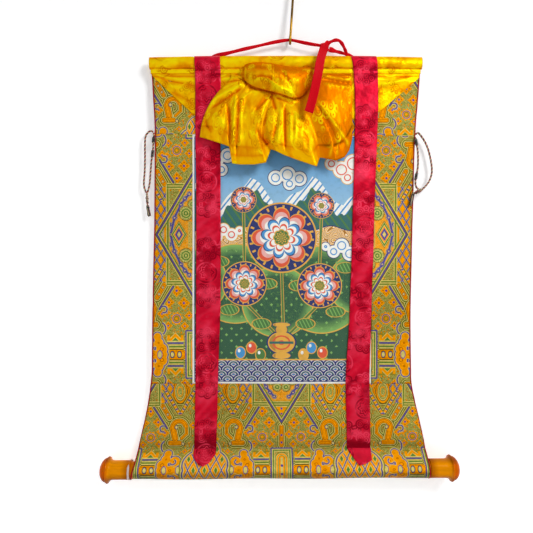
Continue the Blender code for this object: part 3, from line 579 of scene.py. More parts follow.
class Finish:
    """A material on a Principled shader: a ground colour, with others laid over it in turn."""

    def __init__(self, name, ground, roughness=0.5, **sockets):
        self.material = bpy.data.materials.new(name)
        self.material.use_nodes = True
        self.tree = self.material.node_tree
        self.shader = self.tree.nodes["Principled BSDF"]
        self.shader.inputs["Roughness"].default_value = roughness
        for key, value in sockets.items():
            socket = self.shader.inputs[key.replace("_", " ")]
            socket.default_value = (*value, 1.0) if socket.type == "RGBA" else value
        self.root = Wire(self.tree, None)
        self.colour = self.root.node("Mix", {0: 0.0, 6: ground, 7: ground}, out=2, data_type="RGBA")

    def over(self, mask, shade):
        """Lay a colour over the others where the mask is 1."""
        self.colour = self.colour.node("Mix", {0: mask, 6: self.colour, 7: shade}, out=2, data_type="RGBA")

    def rings(self, shape, layers, where=None):
        """Lay colours over one another, each inside its own level of a shape."""
        for level, shade in layers:
            inside = shape < level
            self.over(inside & where if where else inside, shade)

    def lay(self):
        """Place on the flat cloth or along the cord, kept on the mesh when it was made, and a yarn's ply or a
        cloth's painted light.
        """
        return self.root.node("Attribute", {}, out=1, attribute_name="lay")

    def where(self):
        return self.root.node("TexCoord", {}, out=3)

    def pair(self, x, y):
        return self.root.node("CombineXYZ", {0: x, 1: y})

    def grain(self, point, scale, detail=2.0, stretch=None, kind="Noise"):
        """Noise from 0 to 1 over a point; stretch scales each axis first."""
        if stretch:
            point = point.vector("MULTIPLY", stretch)
        if kind == "Voronoi":
            return self.root.node("TexVoronoi", {"Vector": point, "Scale": scale})
        return self.root.node("TexNoise", {"Vector": point, "Scale": scale, "Detail": detail})

    def done(self, roughness=None, height=None, distance=0.0004, strength=1.0):
        """Connect colour, roughness and bump, and return the material."""
        self.tree.links.new(self.colour.socket, self.shader.inputs["Base Color"])
        if roughness is not None:
            self.tree.links.new(roughness.socket, self.shader.inputs["Roughness"])
        if height is not None:
            bump = self.root.node("Bump", {"Height": height, "Distance": distance, "Strength": strength})
            self.tree.links.new(bump.socket, self.shader.inputs["Normal"])
        return self.material


def weave(x, y, pitch):
    """Height of a plain weave with threads a pitch apart, from 0 to 1."""
    warp = (x * (math.pi / pitch)).math("SINE")
    weft = (y * (math.pi / pitch)).math("SINE")
    return (warp * weft) * 0.5 + 0.5


def segment(point, ax, ay, bx, by):
    """Distance from a straight line between two points."""
    way = Vector((bx - ax, by - ay))
    share = (point.vector("DOT_PRODUCT", (way.x, way.y, 0.0)) - (ax * way.x + ay * way.y)).math(
        "DIVIDE", way.length_squared, clamp=True)
    nearest = share.node("CombineXYZ", {0: share * way.x + ax, 1: share * way.y + ay})
    return point.vector("DISTANCE", nearest)


def nearest_of(distances):
    """The smallest of several distances."""
    found = distances[0]
    for other in distances[1:]:
        found = found.math("MINIMUM", other)
    return found


def from_centre(point, x, y, half_x, half_y):
    """Place seen from a centre, in shares of the half width and height."""
    return point.vector("MULTIPLY_ADD", (1 / half_x, 1 / half_y, 0), (-x / half_x, -y / half_y, 0))


def oval(*place_and_size):
    """1 on the rim of an oval, less inside it."""
    return from_centre(*place_and_size).vector("LENGTH")


def lozenge(*place_and_size):
    """1 on the rim of a diamond, less inside it."""
    return from_centre(*place_and_size).vector("ABSOLUTE").vector("DOT_PRODUCT", (1, 1, 0))


# The brocade's chart, in pixels of the photograph from the middle of a repeat
BROCADE_REPEAT = (75, 111)
# Four-petalled orange flowers: across, down, radius
CHART_FLOWERS = (
    (19.4, 52, 6), (12.4, 63.4, 6), (26.8, 62.8, 5.6), (33.4, 73.4, 4.8), (7.4, 75, 4.6), (11.6, 84.8, 4.2),
    (27.4, 84.4, 4.2), (28.6, 72.4, 4), (66, 49, 5.6), (68, 20, 5), (60, 8, 5.2), (50, 8, 4.6), (70, 35, 4.6),
    (69.4, 4, 4.6), (61.6, 66, 4), (58, 99, 4.4), (66.4, 79.6, 4.2), (55.6, 47, 4.2), (73, 57, 4.4),
    (60, 25, 4.2), (60.4, 91, 3.6), (53.6, 92, 3.2),
)
# Large orange figures as bars: from, to, half-width
CHART_BARS = (
    (0, 67.5, 0, 86, 1.5), (41.4, 68.5, 43.6, 79, 2.5), (39, 83.4, 48, 83.4, 1.7), (54.4, 65, 55.2, 74, 0.9),
    (55.2, 74, 50, 79, 0.7), (14.4, 111, 26, 111, 4), (31.2, 46.6, 38.2, 58.4, 1.5),
    (60, 36, 63.4, 42.6, 1.4), (65.6, 57, 69.6, 64.4, 1.5),
)
# Orange scrolls: centre, radius, half-width, then the side kept as (across, down, least)
CHART_ARCS = (
    (47.8, 68.4, 6.7, 1.7, (0, -1, -68)), (48.7, 32.5, 9, 0.9, (0, 1, 20)), (66, 71.4, 4.2, 0.9, (1, 0, 64)),
    (75, 63, 6, 1.2, (0, -1, -65)),
)
# The curled cloud at the foot as discs: across, down, radius
CHART_CLOUD = (
    (37.6, 94.6, 3.4), (36.4, 100.4, 4.2), (33.6, 106, 5), (45.4, 102.6, 4.8), (34.6, 112, 6.4),
    (41.6, 112, 5), (48, 112.5, 4.8),
)


def brocade_cloth(tint):
    """Silk brocade: orange figures outlined in cream, green and violet on olive, mirrored both ways."""
    olive, orange, violet = tint.olive, tint.orange, tint.violet
    cream, green, dark = tint.cream, tint.leaf_green, tint.shadow
    burnt = tuple(c * f for c, f in zip(orange, (0.56, 0.36, 0.3)))
    silk = Finish("olive and gold brocade", olive, 0.5, Specular_IOR_Level=0.16, Specular_Tint=orange)
    over, rings, lay = silk.over, silk.rings, silk.lay()
    a, b = lay.part(0).fold(BROCADE_REPEAT[0]), lay.part(1).fold(BROCADE_REPEAT[1])
    point = silk.pair(a, b)

    def spot(x, y):
        return point.vector("DISTANCE", (x, y, 0))

    # ground of small leaves and curls
    cells = silk.grain(point, 0.36, kind="Voronoi")
    curl = silk.grain(point, 0.3, 1.0)
    vein = (curl * 26.0 + cells * 1.2).fold(1.0)
    over(vein > 0.7, cream)
    over(vein < 0.34, green)
    over(vein < 0.13, dark)
    over((cells < 0.36) & (curl > 0.48), burnt)
    over((cells < 0.25) & (curl > 0.48), orange)
    over((cells < 0.14) & (curl < 0.46), violet)

    # large figures with their echoing outlines
    shapes = nearest_of([segment(point, ax, ay, bx, by) - half for ax, ay, bx, by, half in CHART_BARS])
    for x, y, radius, half, (nx, ny, least) in CHART_ARCS:
        ring = abs(spot(x, y) - radius) - half
        other_side = (point.vector("DOT_PRODUCT", (nx, ny, 0)) < least) * 9.0
        shapes = shapes.math("MINIMUM", ring + other_side)
    rings(shapes, ((4.2, dark), (3.8, olive), (3.4, cream), (2.9, green), (2.4, dark), (2.0, olive),
                   (1.6, cream), (0.9, dark), (0.4, orange)))
    rings(shapes, ((-0.5, burnt), (-1.0, orange)))

    # four diamond petals round a violet centre
    flowers, hearts = [], []
    for x, y, radius in CHART_FLOWERS:
        out = point.vector("SUBTRACT", (x, y, 0)).vector("ABSOLUTE")
        dx, dy = out.part(0), out.part(1)
        flowers.append((dx.math("MINIMUM", dy) * 1.15 + abs(dx.math("MAXIMUM", dy) - radius * 0.5))
                       / (radius * 0.52))
        hearts.append((dx + dy) / radius)
    flowers, hearts = nearest_of(flowers), nearest_of(hearts)
    rings(flowers, ((1.4, green), (1.26, cream), (1.1, dark), (1.0, orange), (0.3, burnt)))
    over(hearts < 0.24, violet)

    # the large diamond with its orange field, arabesques and medallion
    diamond = lozenge(point, 0, 0, 39.4, 63.7)
    field = (b < 42.4) & (diamond < 0.9)
    over(field, orange)
    over(field & vein.near(0.5, 0.08), cream)
    chain = nearest_of([segment(point, *ends) for ends in ((7.0, 38.0, 15.4, 28.0), (15.4, 28.0, 21.6, 15.6),
                                                           (21.6, 15.6, 25.2, 1.0))])
    buds = nearest_of([spot(x, y) for x, y in ((7.4, 37.4), (15.4, 27.6), (21.6, 15.6), (25.0, 0.4),
                                               (11.6, 33.4), (26.6, 9.0), (18.4, 34.0))])
    sprig = (chain - 0.9).math("MINIMUM", buds - (vein * 1.6 + 1.3))
    rings(sprig, ((0.8, dark), (0.6, cream), (0.15, violet)), field)
    over(field & (buds < 0.7), cream)
    for x, y, size in ((10.6, 19.6, 5.8), (4.4, 28.0, 3.6), (1.0, 15.0, 3.0)):
        cloud = spot(x, y) - vein * 0.9
        rings(cloud, ((size + 0.6, dark), (size, cream)))
        over((cloud.fold(1.15) > 0.42) & (cloud < size - 0.4), green)
    rings(lozenge(point, 17.4, 0.0, 7.6, 12.0), ((1.06, dark), (1.0, cream), (0.92, green), (0.74, cream),
                                                 (0.66, orange), (0.5, violet), (0.24, cream)))
    spine = (a < 8.6) & (b < 12.0)
    tendril = ((a * 1.5).math("SINE") + (b * 1.1).math("SINE")).fold(0.5)
    over(spine & (tendril > 0.26), cream)
    over(spine & (tendril < 0.1), green)
    zigzag = a.near(33.2, 1.5) & (b < 4.6)
    over(diamond.near(0.8, 0.09) & (a > 30.0), orange)
    over(zigzag, cream)
    over(zigzag & ((a + b * 1.4).fold(1.0) < 0.4), violet)

    # crossed bars outside the diamond, and the olive frame behind it
    outside = (diamond > 1.05) & (b < 44.0) & a.near(35.6, 6.4)
    cross = (a + b * 0.62).fold(3.8).math("MINIMUM", (a - b * 0.62 + 90.0).fold(3.8))
    over(outside, orange)
    rings(cross, ((1.3, dark), (1.0, cream), (0.62, violet)), outside)
    over((b.near(44.6, 2.9) & (a < 29.4)) | (a.near(28.0, 1.6) & (b < 46.0)), olive)
    over(((b.near(42.6, 0.4) | b.near(44.9, 0.4) | b.near(47.2, 0.4)) & (a < 28.8))
         | (a.near(26.8, 0.35) & (b < 42.4)) | (a.near(29.4, 0.35) & (b < 46.4)), cream)
    over(((b.near(43.7, 0.35) | b.near(46.1, 0.3)) & (a < 28.8)) | (a.near(28.0, 0.35) & (b < 45.4)), green)
    rings(lozenge(point, 0, 47.6, 8.6, 10.2), ((1.06, dark), (0.98, orange)), b > 47.6)
    for level, reach, shade in ((0.985, 0.06, olive), (0.985, 0.036, dark), (0.985, 0.018, violet),
                                (0.945, 0.011, cream), (0.905, 0.014, green), (1.04, 0.009, cream)):
        over(diamond.near(level, reach), shade)
    over((spot(0, 49.4) < 1.1) | (spot(0, 54.6) < 1.0), violet)

    # blue diagonal, the ladder in a V and the long oval in it
    rings(segment(point, 22.6, 48.2, 35.8, 69.0), ((2.4, olive), (1.7, cream), (1.1, dark), (0.66, violet)))
    from_axis = abs(a - 48.7)
    arm = abs((from_axis * 0.86 + b * 0.52) - 29.0)
    rungs = (b - from_axis * 0.6).fold(3.0)
    reach_up = b.near(43.0, 12.0)
    rings(arm, ((3.0, olive), (2.6, cream), (2.2, green), (1.8, dark), (1.3, orange)), reach_up)
    on_arm = (arm < 1.15) & reach_up
    over(on_arm & (rungs < 0.9), violet)
    over(on_arm & rungs.near(1.35, 0.35), cream)
    cartouche = oval(point, 48.7, 32.6, 6.6, 11.6)
    rings(cartouche, ((1.08, dark), (1.0, orange), (0.82, dark), (0.76, cream), (0.66, olive)))
    over((cartouche < 0.6) & (vein > 0.62), cream)
    over((cartouche < 0.6) & (vein < 0.3), green)
    rings(abs(cartouche - 0.4), ((0.06, orange),))

    # sunflower, beads and violet centres
    sun = spot(19.3, 77.8)
    rays = sun - ((b - 77.8).math("ARCTAN2", a - 19.3) * 10.0).math("SINE") * 0.7
    rings(rays, ((7.0, green), (6.5, cream), (6.0, dark), (5.6, orange)))
    rings(sun, ((4.4, cream), (4.1, violet), (3.3, orange), (2.7, olive), (1.4, orange)))
    for x, y, size in ((45.0, 67.8, 1.9), (36.3, 55.2, 1.2), (32.7, 49.0, 1.2), (51.5, 84.2, 1.6),
                       (16.6, 111.0, 2.3), (23.4, 111.0, 2.3)):
        bead = oval(point, x, y, size * 0.85, size * (1.3 if y > 100 else 1.0))
        rings(bead, ((1.2, dark), (0.95, violet), (0.76, cream)))
    over((spot(0, 76.0) < 1.1) | (spot(0, 83.4) < 1.1), violet)
    hooks = abs(spot(31.6, 69.4) - 3.0).math("MINIMUM", abs(spot(36.0, 87.2) - 6.2)) + (a > 33.0) * 9.0
    rings(hooks, ((1.3, cream), (0.7, violet)))

    # peak, stripes, nested arch and the curled cloud at the foot
    from_peak = abs(a - 20.5)
    feet = from_peak < 7.8
    over(feet & b.near(99.0, 7.4), olive)
    rings(from_peak - b, ((-90.4, cream), (-91.2, orange), (-94.6, cream), (-95.2, green)),
          feet & b.near(94.6, 3.6))
    over(feet & (from_peak > 5.2) & b.near(95.6, 2.6), orange)
    for level, reach, shade in ((98.8, 0.5, cream), (100.4, 0.7, violet), (102.2, 0.5, cream),
                                (103.6, 0.5, green), (105.0, 0.5, cream), (106.3, 0.4, dark)):
        over(feet & b.near(level, reach), shade)
    puffs = nearest_of([spot(x, y) - radius for x, y, radius in CHART_CLOUD])
    rings(puffs, ((2.6, olive), (2.2, cream), (1.5, violet), (0.5, cream), (0.1, orange),
                  (-2.6 - curl, burnt), (-3.2 - curl, orange)), b > 88.0)
    swirl = abs(spot(43.4, 103.0) - 2.7) + ((a + b) < 145.0) * 9.0
    rings(swirl, ((1.0, cream), (0.6, violet)))
    for x in (35.4, 49.0):
        rings(oval(point, x, 110.6, 1.9, 2.9), ((1.25, violet), (0.95, cream)))
    fret = a.math("MAXIMUM", 99.4 - b)
    for edge, half, shade in ((9.4, 1.5, olive), (10.4, 0.6, violet), (9.2, 0.4, cream), (8.2, 0.5, green),
                              (7.0, 0.4, cream)):
        over(fret.near(edge, half) & (b > 88.4), shade)
    arch = segment(point, 0.0, 100.0, 0.0, 116.0)
    rings(arch, ((6.6, green), (6.0, cream), (5.4, orange), (3.9, cream), (3.4, green), (2.8, orange),
                 (1.2, cream)))
    over(spot(0.0, 107.0) < 1.3, violet)

    # medallion with its net of leaves
    medallion = oval(point, 75.0, 106.0, 22.2, 17.0).math("MINIMUM", oval(point, 75.0, 92.0, 14.0, 13.4))
    rings(medallion, ((1.14, olive), (1.08, cream), (1.03, violet), (0.97, cream), (0.93, orange)))
    cell = silk.pair((a - 75.0).fold(5.45), (b - 111.0).fold(10.6))
    core = medallion < 0.9
    leaf = lozenge(cell, 0, 0, 5.45, 10.6)
    over(core & leaf.near(1.0, 0.2), cream)
    over(core & leaf.near(1.0, 0.1), violet)
    for level, shade in ((0.42, cream), (0.3, green)):
        over(core & ((leaf < level) | (leaf > 2.0 - level)), shade)

    fine, threads = (lay.part(1) * 7.0).math("SINE"), (lay.part(0) * 5.6).math("SINE")
    stir = silk.grain(lay, 0.25, 3.0)
    mottle = silk.grain(lay, 0.5, 1.0)
    # Random tone and weave lines of the silk, with the painted light and shade that the cloth carries.
    light = stir * 0.4 + mottle * 0.5 + fine * 0.09 + threads * 0.07 + lay.part(2) * 0.2 + 0.58
    silk.colour = silk.colour.node("HueSaturation", {"Value": light, "Color": silk.colour})
    height = fine * 0.4 + threads * 0.3 + stir + (flowers < 1.0) * 0.8 + (shapes < 0.4) * 0.8
    return silk.done((fine * 0.06 + stir * 0.2) + 0.36, height, 0.0003, 0.6)


# Curls between the roundels, in roundel radii: across, down, radius
DAMASK_CLOUDS = (
    (-0.5, -0.06, 0.4), (0.08, -0.3, 0.34), (0.6, 0.02, 0.3), (0.1, 0.24, 0.24), (-1, 0.26, 0.17),
    (1.04, 0.3, 0.15), (-0.56, 0.54, 0.14), (0.62, 0.5, 0.13),
)


def damask(finish, lay, pitch, radius, seed_x=0.0, seed_y=0.0):
    """Figure of a damask: roundels of petals in staggered rows, with curled clouds between them."""
    x, y = lay.part(0) + seed_x, lay.part(1) + seed_y
    shift = (y / pitch).math("FLOOR").fold(1.0) * (pitch / 2)
    in_x = (x + shift).math("WRAP", pitch / 2, -pitch / 2)
    in_y = y.math("WRAP", pitch, 0.0) - pitch / 2
    reach = finish.pair(in_x, in_y).vector("LENGTH") / radius
    petals = (in_y.math("ARCTAN2", in_x) * 8.0).math("COSINE")
    rings = (reach * 6.6 - petals * 0.6).fold(1.0) < 0.5
    figure = reach.near(0.96, 0.08) | ((reach < 0.82) & rings)
    cloud = finish.pair(in_x.math("WRAP", pitch / 4, -pitch / 4), abs(in_y) - pitch * 0.36)
    puff = nearest_of([cloud.vector("DISTANCE", (cloud_x * radius, cloud_y * radius, 0)) / radius - curl
                       for cloud_x, cloud_y, curl in DAMASK_CLOUDS])
    curls = puff.near(0.0, 0.07) | puff.near(-0.19, 0.05) | (puff < -0.32)
    return figure | (curls & (reach > 1.15))


def satin(name, seed, ground, shade, deep, bright,
          pitch, radius, roughness, figure_depth, white_gloss, cloud):
    """Satin damask: a tone-on-tone figure with painted glints, painted shade inside the folds and painted
    highlights on their ridges.
    """
    silk = Finish(name, ground, roughness, Specular_Tint=tuple(c ** 0.5 for c in ground),
                  Specular_IOR_Level=white_gloss, Metallic=0.22)
    lay = silk.lay()
    figure = damask(silk, lay, pitch, radius, *seed)
    slub = silk.grain(lay, 1.0, 3.0, stretch=(0.08, 0.5, 0.1))
    bump_and_painted_sheen = silk.grain(lay, 0.07, 2.0)
    glint = silk.grain(lay, 0.05, 1.0)
    # The cloth's painted light: below nought painted shade in the folds, above it a painted highlight on the
    # ridges.
    fold = lay.part(2)
    # Painted patches of shade and sheen (cloud sets how strong), painted shade and highlights on folds and
    # ridges, the figure in painted highlight where the glint noise is high and in its own colour elsewhere,
    # and the deepest folds in darker painted shade.
    for mask, colour in ((bump_and_painted_sheen.span(0.48, 0.7) * cloud + slub * 0.12, deep),
                         (bump_and_painted_sheen.span(0.42, 0.26) * cloud, bright), (fold * -1.0, deep), (fold, bright),
                         (figure * glint.span(0.44, 0.62, 0.0, figure_depth), bright),
                         (figure * glint.span(0.56, 0.4, 0.0, figure_depth), shade),
                         ((fold + 1.0) * -1.5, darker(shade, 0.3))):
        silk.over(mask, colour)
    gloss = slub * 0.1 + figure * 0.12 + (roughness - 0.05)
    height = figure * 0.6 + slub * 0.3 + bump_and_painted_sheen * 5.0 + weave(lay.part(0), lay.part(1), 0.8) * 0.2
    return silk.done(gloss, height, 0.0005, 0.6)


def golden_silk(tint):
    """Glossy golden damask of the heading and the veil."""
    return satin("golden silk damask", (8.0, 30.0), tint.gold_silk, tint.gold_shade, tint.gold_painted_shade,
                 tint.gold_painted_highlight, pitch=94.0, radius=16.5, roughness=0.31, figure_depth=0.7, white_gloss=0.0,
                 cloud=0.6)


def crimson_satin(tint):
    """Crimson damask of the ribbons."""
    return satin("crimson satin damask", (124.0, -20.0), tint.crimson, tint.crimson_shade, tint.crimson_painted_shade,
                 tint.crimson_painted_highlight, pitch=75.0, radius=17.0, roughness=0.38, figure_depth=0.85,
                 white_gloss=0.4, cloud=0.3)


def tape_finish(tint):
    """Bright red woven tape with a fine rib."""
    tape = Finish("bright red tape", tint.tape_red, 0.6, Specular_Tint=(1.0, 0.12, 0.14),
                  Specular_IOR_Level=0.3)
    lay = tape.lay()
    rib = (lay.part(1) * 5.2).math("SINE")
    slub = tape.grain(lay, 0.5, 3.0)
    tape.over(slub * 0.5 - rib * 0.06, darker(tint.tape_red, 0.45))
    return tape.done(slub * 0.2 + 0.5, rib * 0.4 + slub, 0.0003, 0.6)


def piping_finish(tint):
    """Dark red corded piping, wrapped on the bias."""
    piping = Finish("dark red piping", tint.piping_red, 0.6, Specular_IOR_Level=0.15)
    lay = piping.lay()
    twist = (lay.part(0) * 2.0 + lay.part(1) * 2.4).math("SINE")
    slub = piping.grain(piping.where(), 260.0, 2.0)
    piping.over(slub * 0.7 - 0.1, darker(tint.piping_red, 0.4))
    return piping.done(slub * 0.3 + 0.35, twist * 0.5 + slub, 0.0003, 0.7)


def yarn_finish(tint):
    """Three-ply yarn: one ply red, one dark green, one off-white, with loose fibres."""
    yarn = Finish("red and green twisted yarn", tint.yarn_red, 0.85, Sheen_Weight=0.4)
    lay = yarn.lay()
    ply = lay.part(2)
    fibre = yarn.grain(yarn.where(), 900.0, 2.0)
    yarn.over(ply > 0.5, tint.yarn_green)
    yarn.over(ply > 1.5, tint.yarn_pale)
    yarn.over(fibre * 0.6 - 0.15, (0.05, 0.03, 0.02))
    strand = (lay.part(0) * 3.0 + lay.part(1) * 4.0).math("SINE")
    return yarn.done(fibre * 0.2 + 0.7, strand * 0.4 + fibre, 0.0003, 0.8)


def brass_finish(tint):
    """Drawn brass wire with tarnished patches: brown on the upper stem and from the bend to the tip, bright
    elsewhere.
    """
    brass = Finish("brass wire", tint.brass, 0.3, Metallic=1.0)
    at, way = brass.where(), brass.lay().part(1)
    tarnish = brass.grain(at, 60.0, 4.0)
    scratch = brass.grain(at, 1.0, 3.0, stretch=(2600.0, 2600.0, 90.0))
    brown = way.span(44.0, 62.0) - way.span(84.0, 100.0, 0.0, 0.95) + way.span(128.0, 136.0, 0.0, 1.4)
    brass.over(brown * 0.75 + tarnish * 0.3 - 0.1, tint.brass_brown)
    return brass.done(tarnish * 0.3 + scratch * 0.12 + 0.12, scratch * 0.4 + tarnish, 0.0002, 0.4)


def amber_finish(tint):
    """Amber lacquer over turned wood: redder on the dome, with painted shade towards its top and bottom and
    fine turning lines.
    """
    amber = Finish("amber lacquer", tint.amber, 0.2, Specular_Tint=(1.0, 0.8, 0.4), Specular_IOR_Level=0.2,
                   IOR=1.25)
    at = amber.where()
    along, up = at.part(0), at.part(2)
    grain = amber.grain(at, 1.0, 4.0, stretch=(30.0, 240.0, 240.0))
    middle = (KNOB_TIPS[0] + KNOB_TIPS[1]) / 2000 - HOOK_ACROSS / 1000
    from_middle = abs(along - middle)
    for mask, shade in (
            (from_middle.span(0.2756, 0.28) * 0.85, tint.amber_red),
            (from_middle.span(0.256, 0.247) * 0.6, darker(tint.amber_red, 0.5)),
            # Painted shade: darker towards the knobs' top and bottom.
            ((up.span(-0.7985, -0.8095) + up.span(-0.7845, -0.7785)) * 0.7, darker(tint.amber_red, 0.25)),
            (grain.span(0.45, 0.75) * 0.4, darker(tint.amber, 0.5))):
        amber.over(mask, shade)
    lines = (along * 5200.0).math("SINE")
    return amber.done(grain * 0.12 + 0.1, lines * 0.3 + grain, 0.00012, 0.3)


def wood_finish(tint):
    """Plain softwood with grain along the rod."""
    wood = Finish("plain wood", tint.wood, 0.65)
    at = wood.where()
    grain = wood.grain(at, 1.0, 5.0, stretch=(12.0, 320.0, 320.0))
    pores = wood.grain(at, 1.0, 2.0, stretch=(90.0, 2200.0, 2200.0))
    wood.over(grain.span(0.35, 0.7), darker(tint.wood, 0.55))
    return wood.done(pores * 0.2 + 0.5, grain * 0.5 + pores * 0.5, 0.0003, 0.6)


def lining_finish(tint):
    """Plain cotton lining, slightly grey and pink in patches."""
    cotton = Finish("off-white lining", tint.lining, 0.85, Sheen_Weight=0.1)
    at = cotton.where()
    patches = cotton.grain(at, 24.0, 4.0)
    threads = weave(at.part(0) * 1000.0, at.part(2) * 1000.0, 0.7)
    fibre = cotton.grain(at, 800.0, 2.0)
    cotton.over(patches.span(0.4, 0.75), tint.lining_shade)
    cotton.over(threads * 0.18, darker(tint.lining, 0.7))
    return cotton.done(fibre * 0.1 + 0.8, threads + fibre * 0.6, 0.0003, 0.6)


# The painted design, in pixels of the photograph from the scroll's centre line and the picture's top
# Across, down, radius of each puff, then which bank it belongs to
PAINTED_CLOUDS = (
    ((-78, 20, 9), (-66, 26, 8), (-54, 22, 7), (-72, 34, 7), (-60, 36, 6)),
    ((72, 30, 9), (60, 36, 8), (50, 30, 6), (66, 44, 6), (78, 42, 7)),
    ((-6, 44, 7), (6, 41, 8), (18, 45, 7), (8, 50, 6)),
    ((-58, 96, 6), (-50, 101, 6), (-66, 103, 7), (-42, 97, 4)),
    ((60, 112, 7), (52, 118, 6), (68, 120, 7), (44, 113, 4)),
)
PAINTED_HILLS = ((-46, 150, 40), (40, 156, 44), (-4, 168, 36), (76, 150, 30), (-86, 148, 32))
# Across, down, radius
PAINTED_BLOOMS = ((0, 104, 30), (-37, 150, 19), (38, 152, 19), (-38, 66, 11), (40, 72, 11))
PAINTED_STEMS = ((0, 134, 2, 200), (-37, 168, -6, 200), (38, 170, 8, 200), (-38, 76, -37, 132),
                 (40, 82, 38, 134))
PAINTED_LEAVES = ((-20, 190), (24, 190), (-52, 176), (54, 178), (-14, 150), (17, 152), (-62, 128), (64, 134))


def bloom(paint, point, x, y, radius, tint):
    """A painted blossom seen from the front, ringed in gold and blue."""
    over, rings = paint.over, paint.rings
    half_petals = 4.0 if radius > 12 else 3.0
    reach = point.vector("DISTANCE", (x, y, 0)) / radius
    turn = (point.part(1) - y).math("ARCTAN2", point.part(0) - x)
    wide = abs((turn * half_petals).math("COSINE")).math("POWER", 0.55)
    small = abs((turn * half_petals + math.pi / 4).math("SINE")).math("POWER", 0.6)
    rings(reach, ((1.18, tint.gold), (1.13, tint.navy)))
    over((reach < 1.08) & ((turn * 24.0).math("SINE") > 0.72) & (reach > 0.96), tint.gold)
    rings(reach / (wide * 0.36 + 0.66), ((1.0, tint.gold), (0.96, tint.coral),
                                         (0.84, tuple(c * 0.6 + 0.4 for c in tint.coral)), (0.7, tint.white)))
    inner = reach / (small * 0.26 + 0.44)
    rings(inner, ((1.0, tint.navy), (0.95, tint.sky), (0.82, tint.white)))
    over(inner.near(0.62, 0.05), tint.coral)
    heart = reach / (wide * 0.05 + 0.24)
    rings(heart, ((1.0, tint.gold), (0.86, tint.moss)))
    over((heart < 0.7) & ((turn * 10.0).math("SINE") * (reach * 40.0).math("SINE") > 0.1), tint.gold)


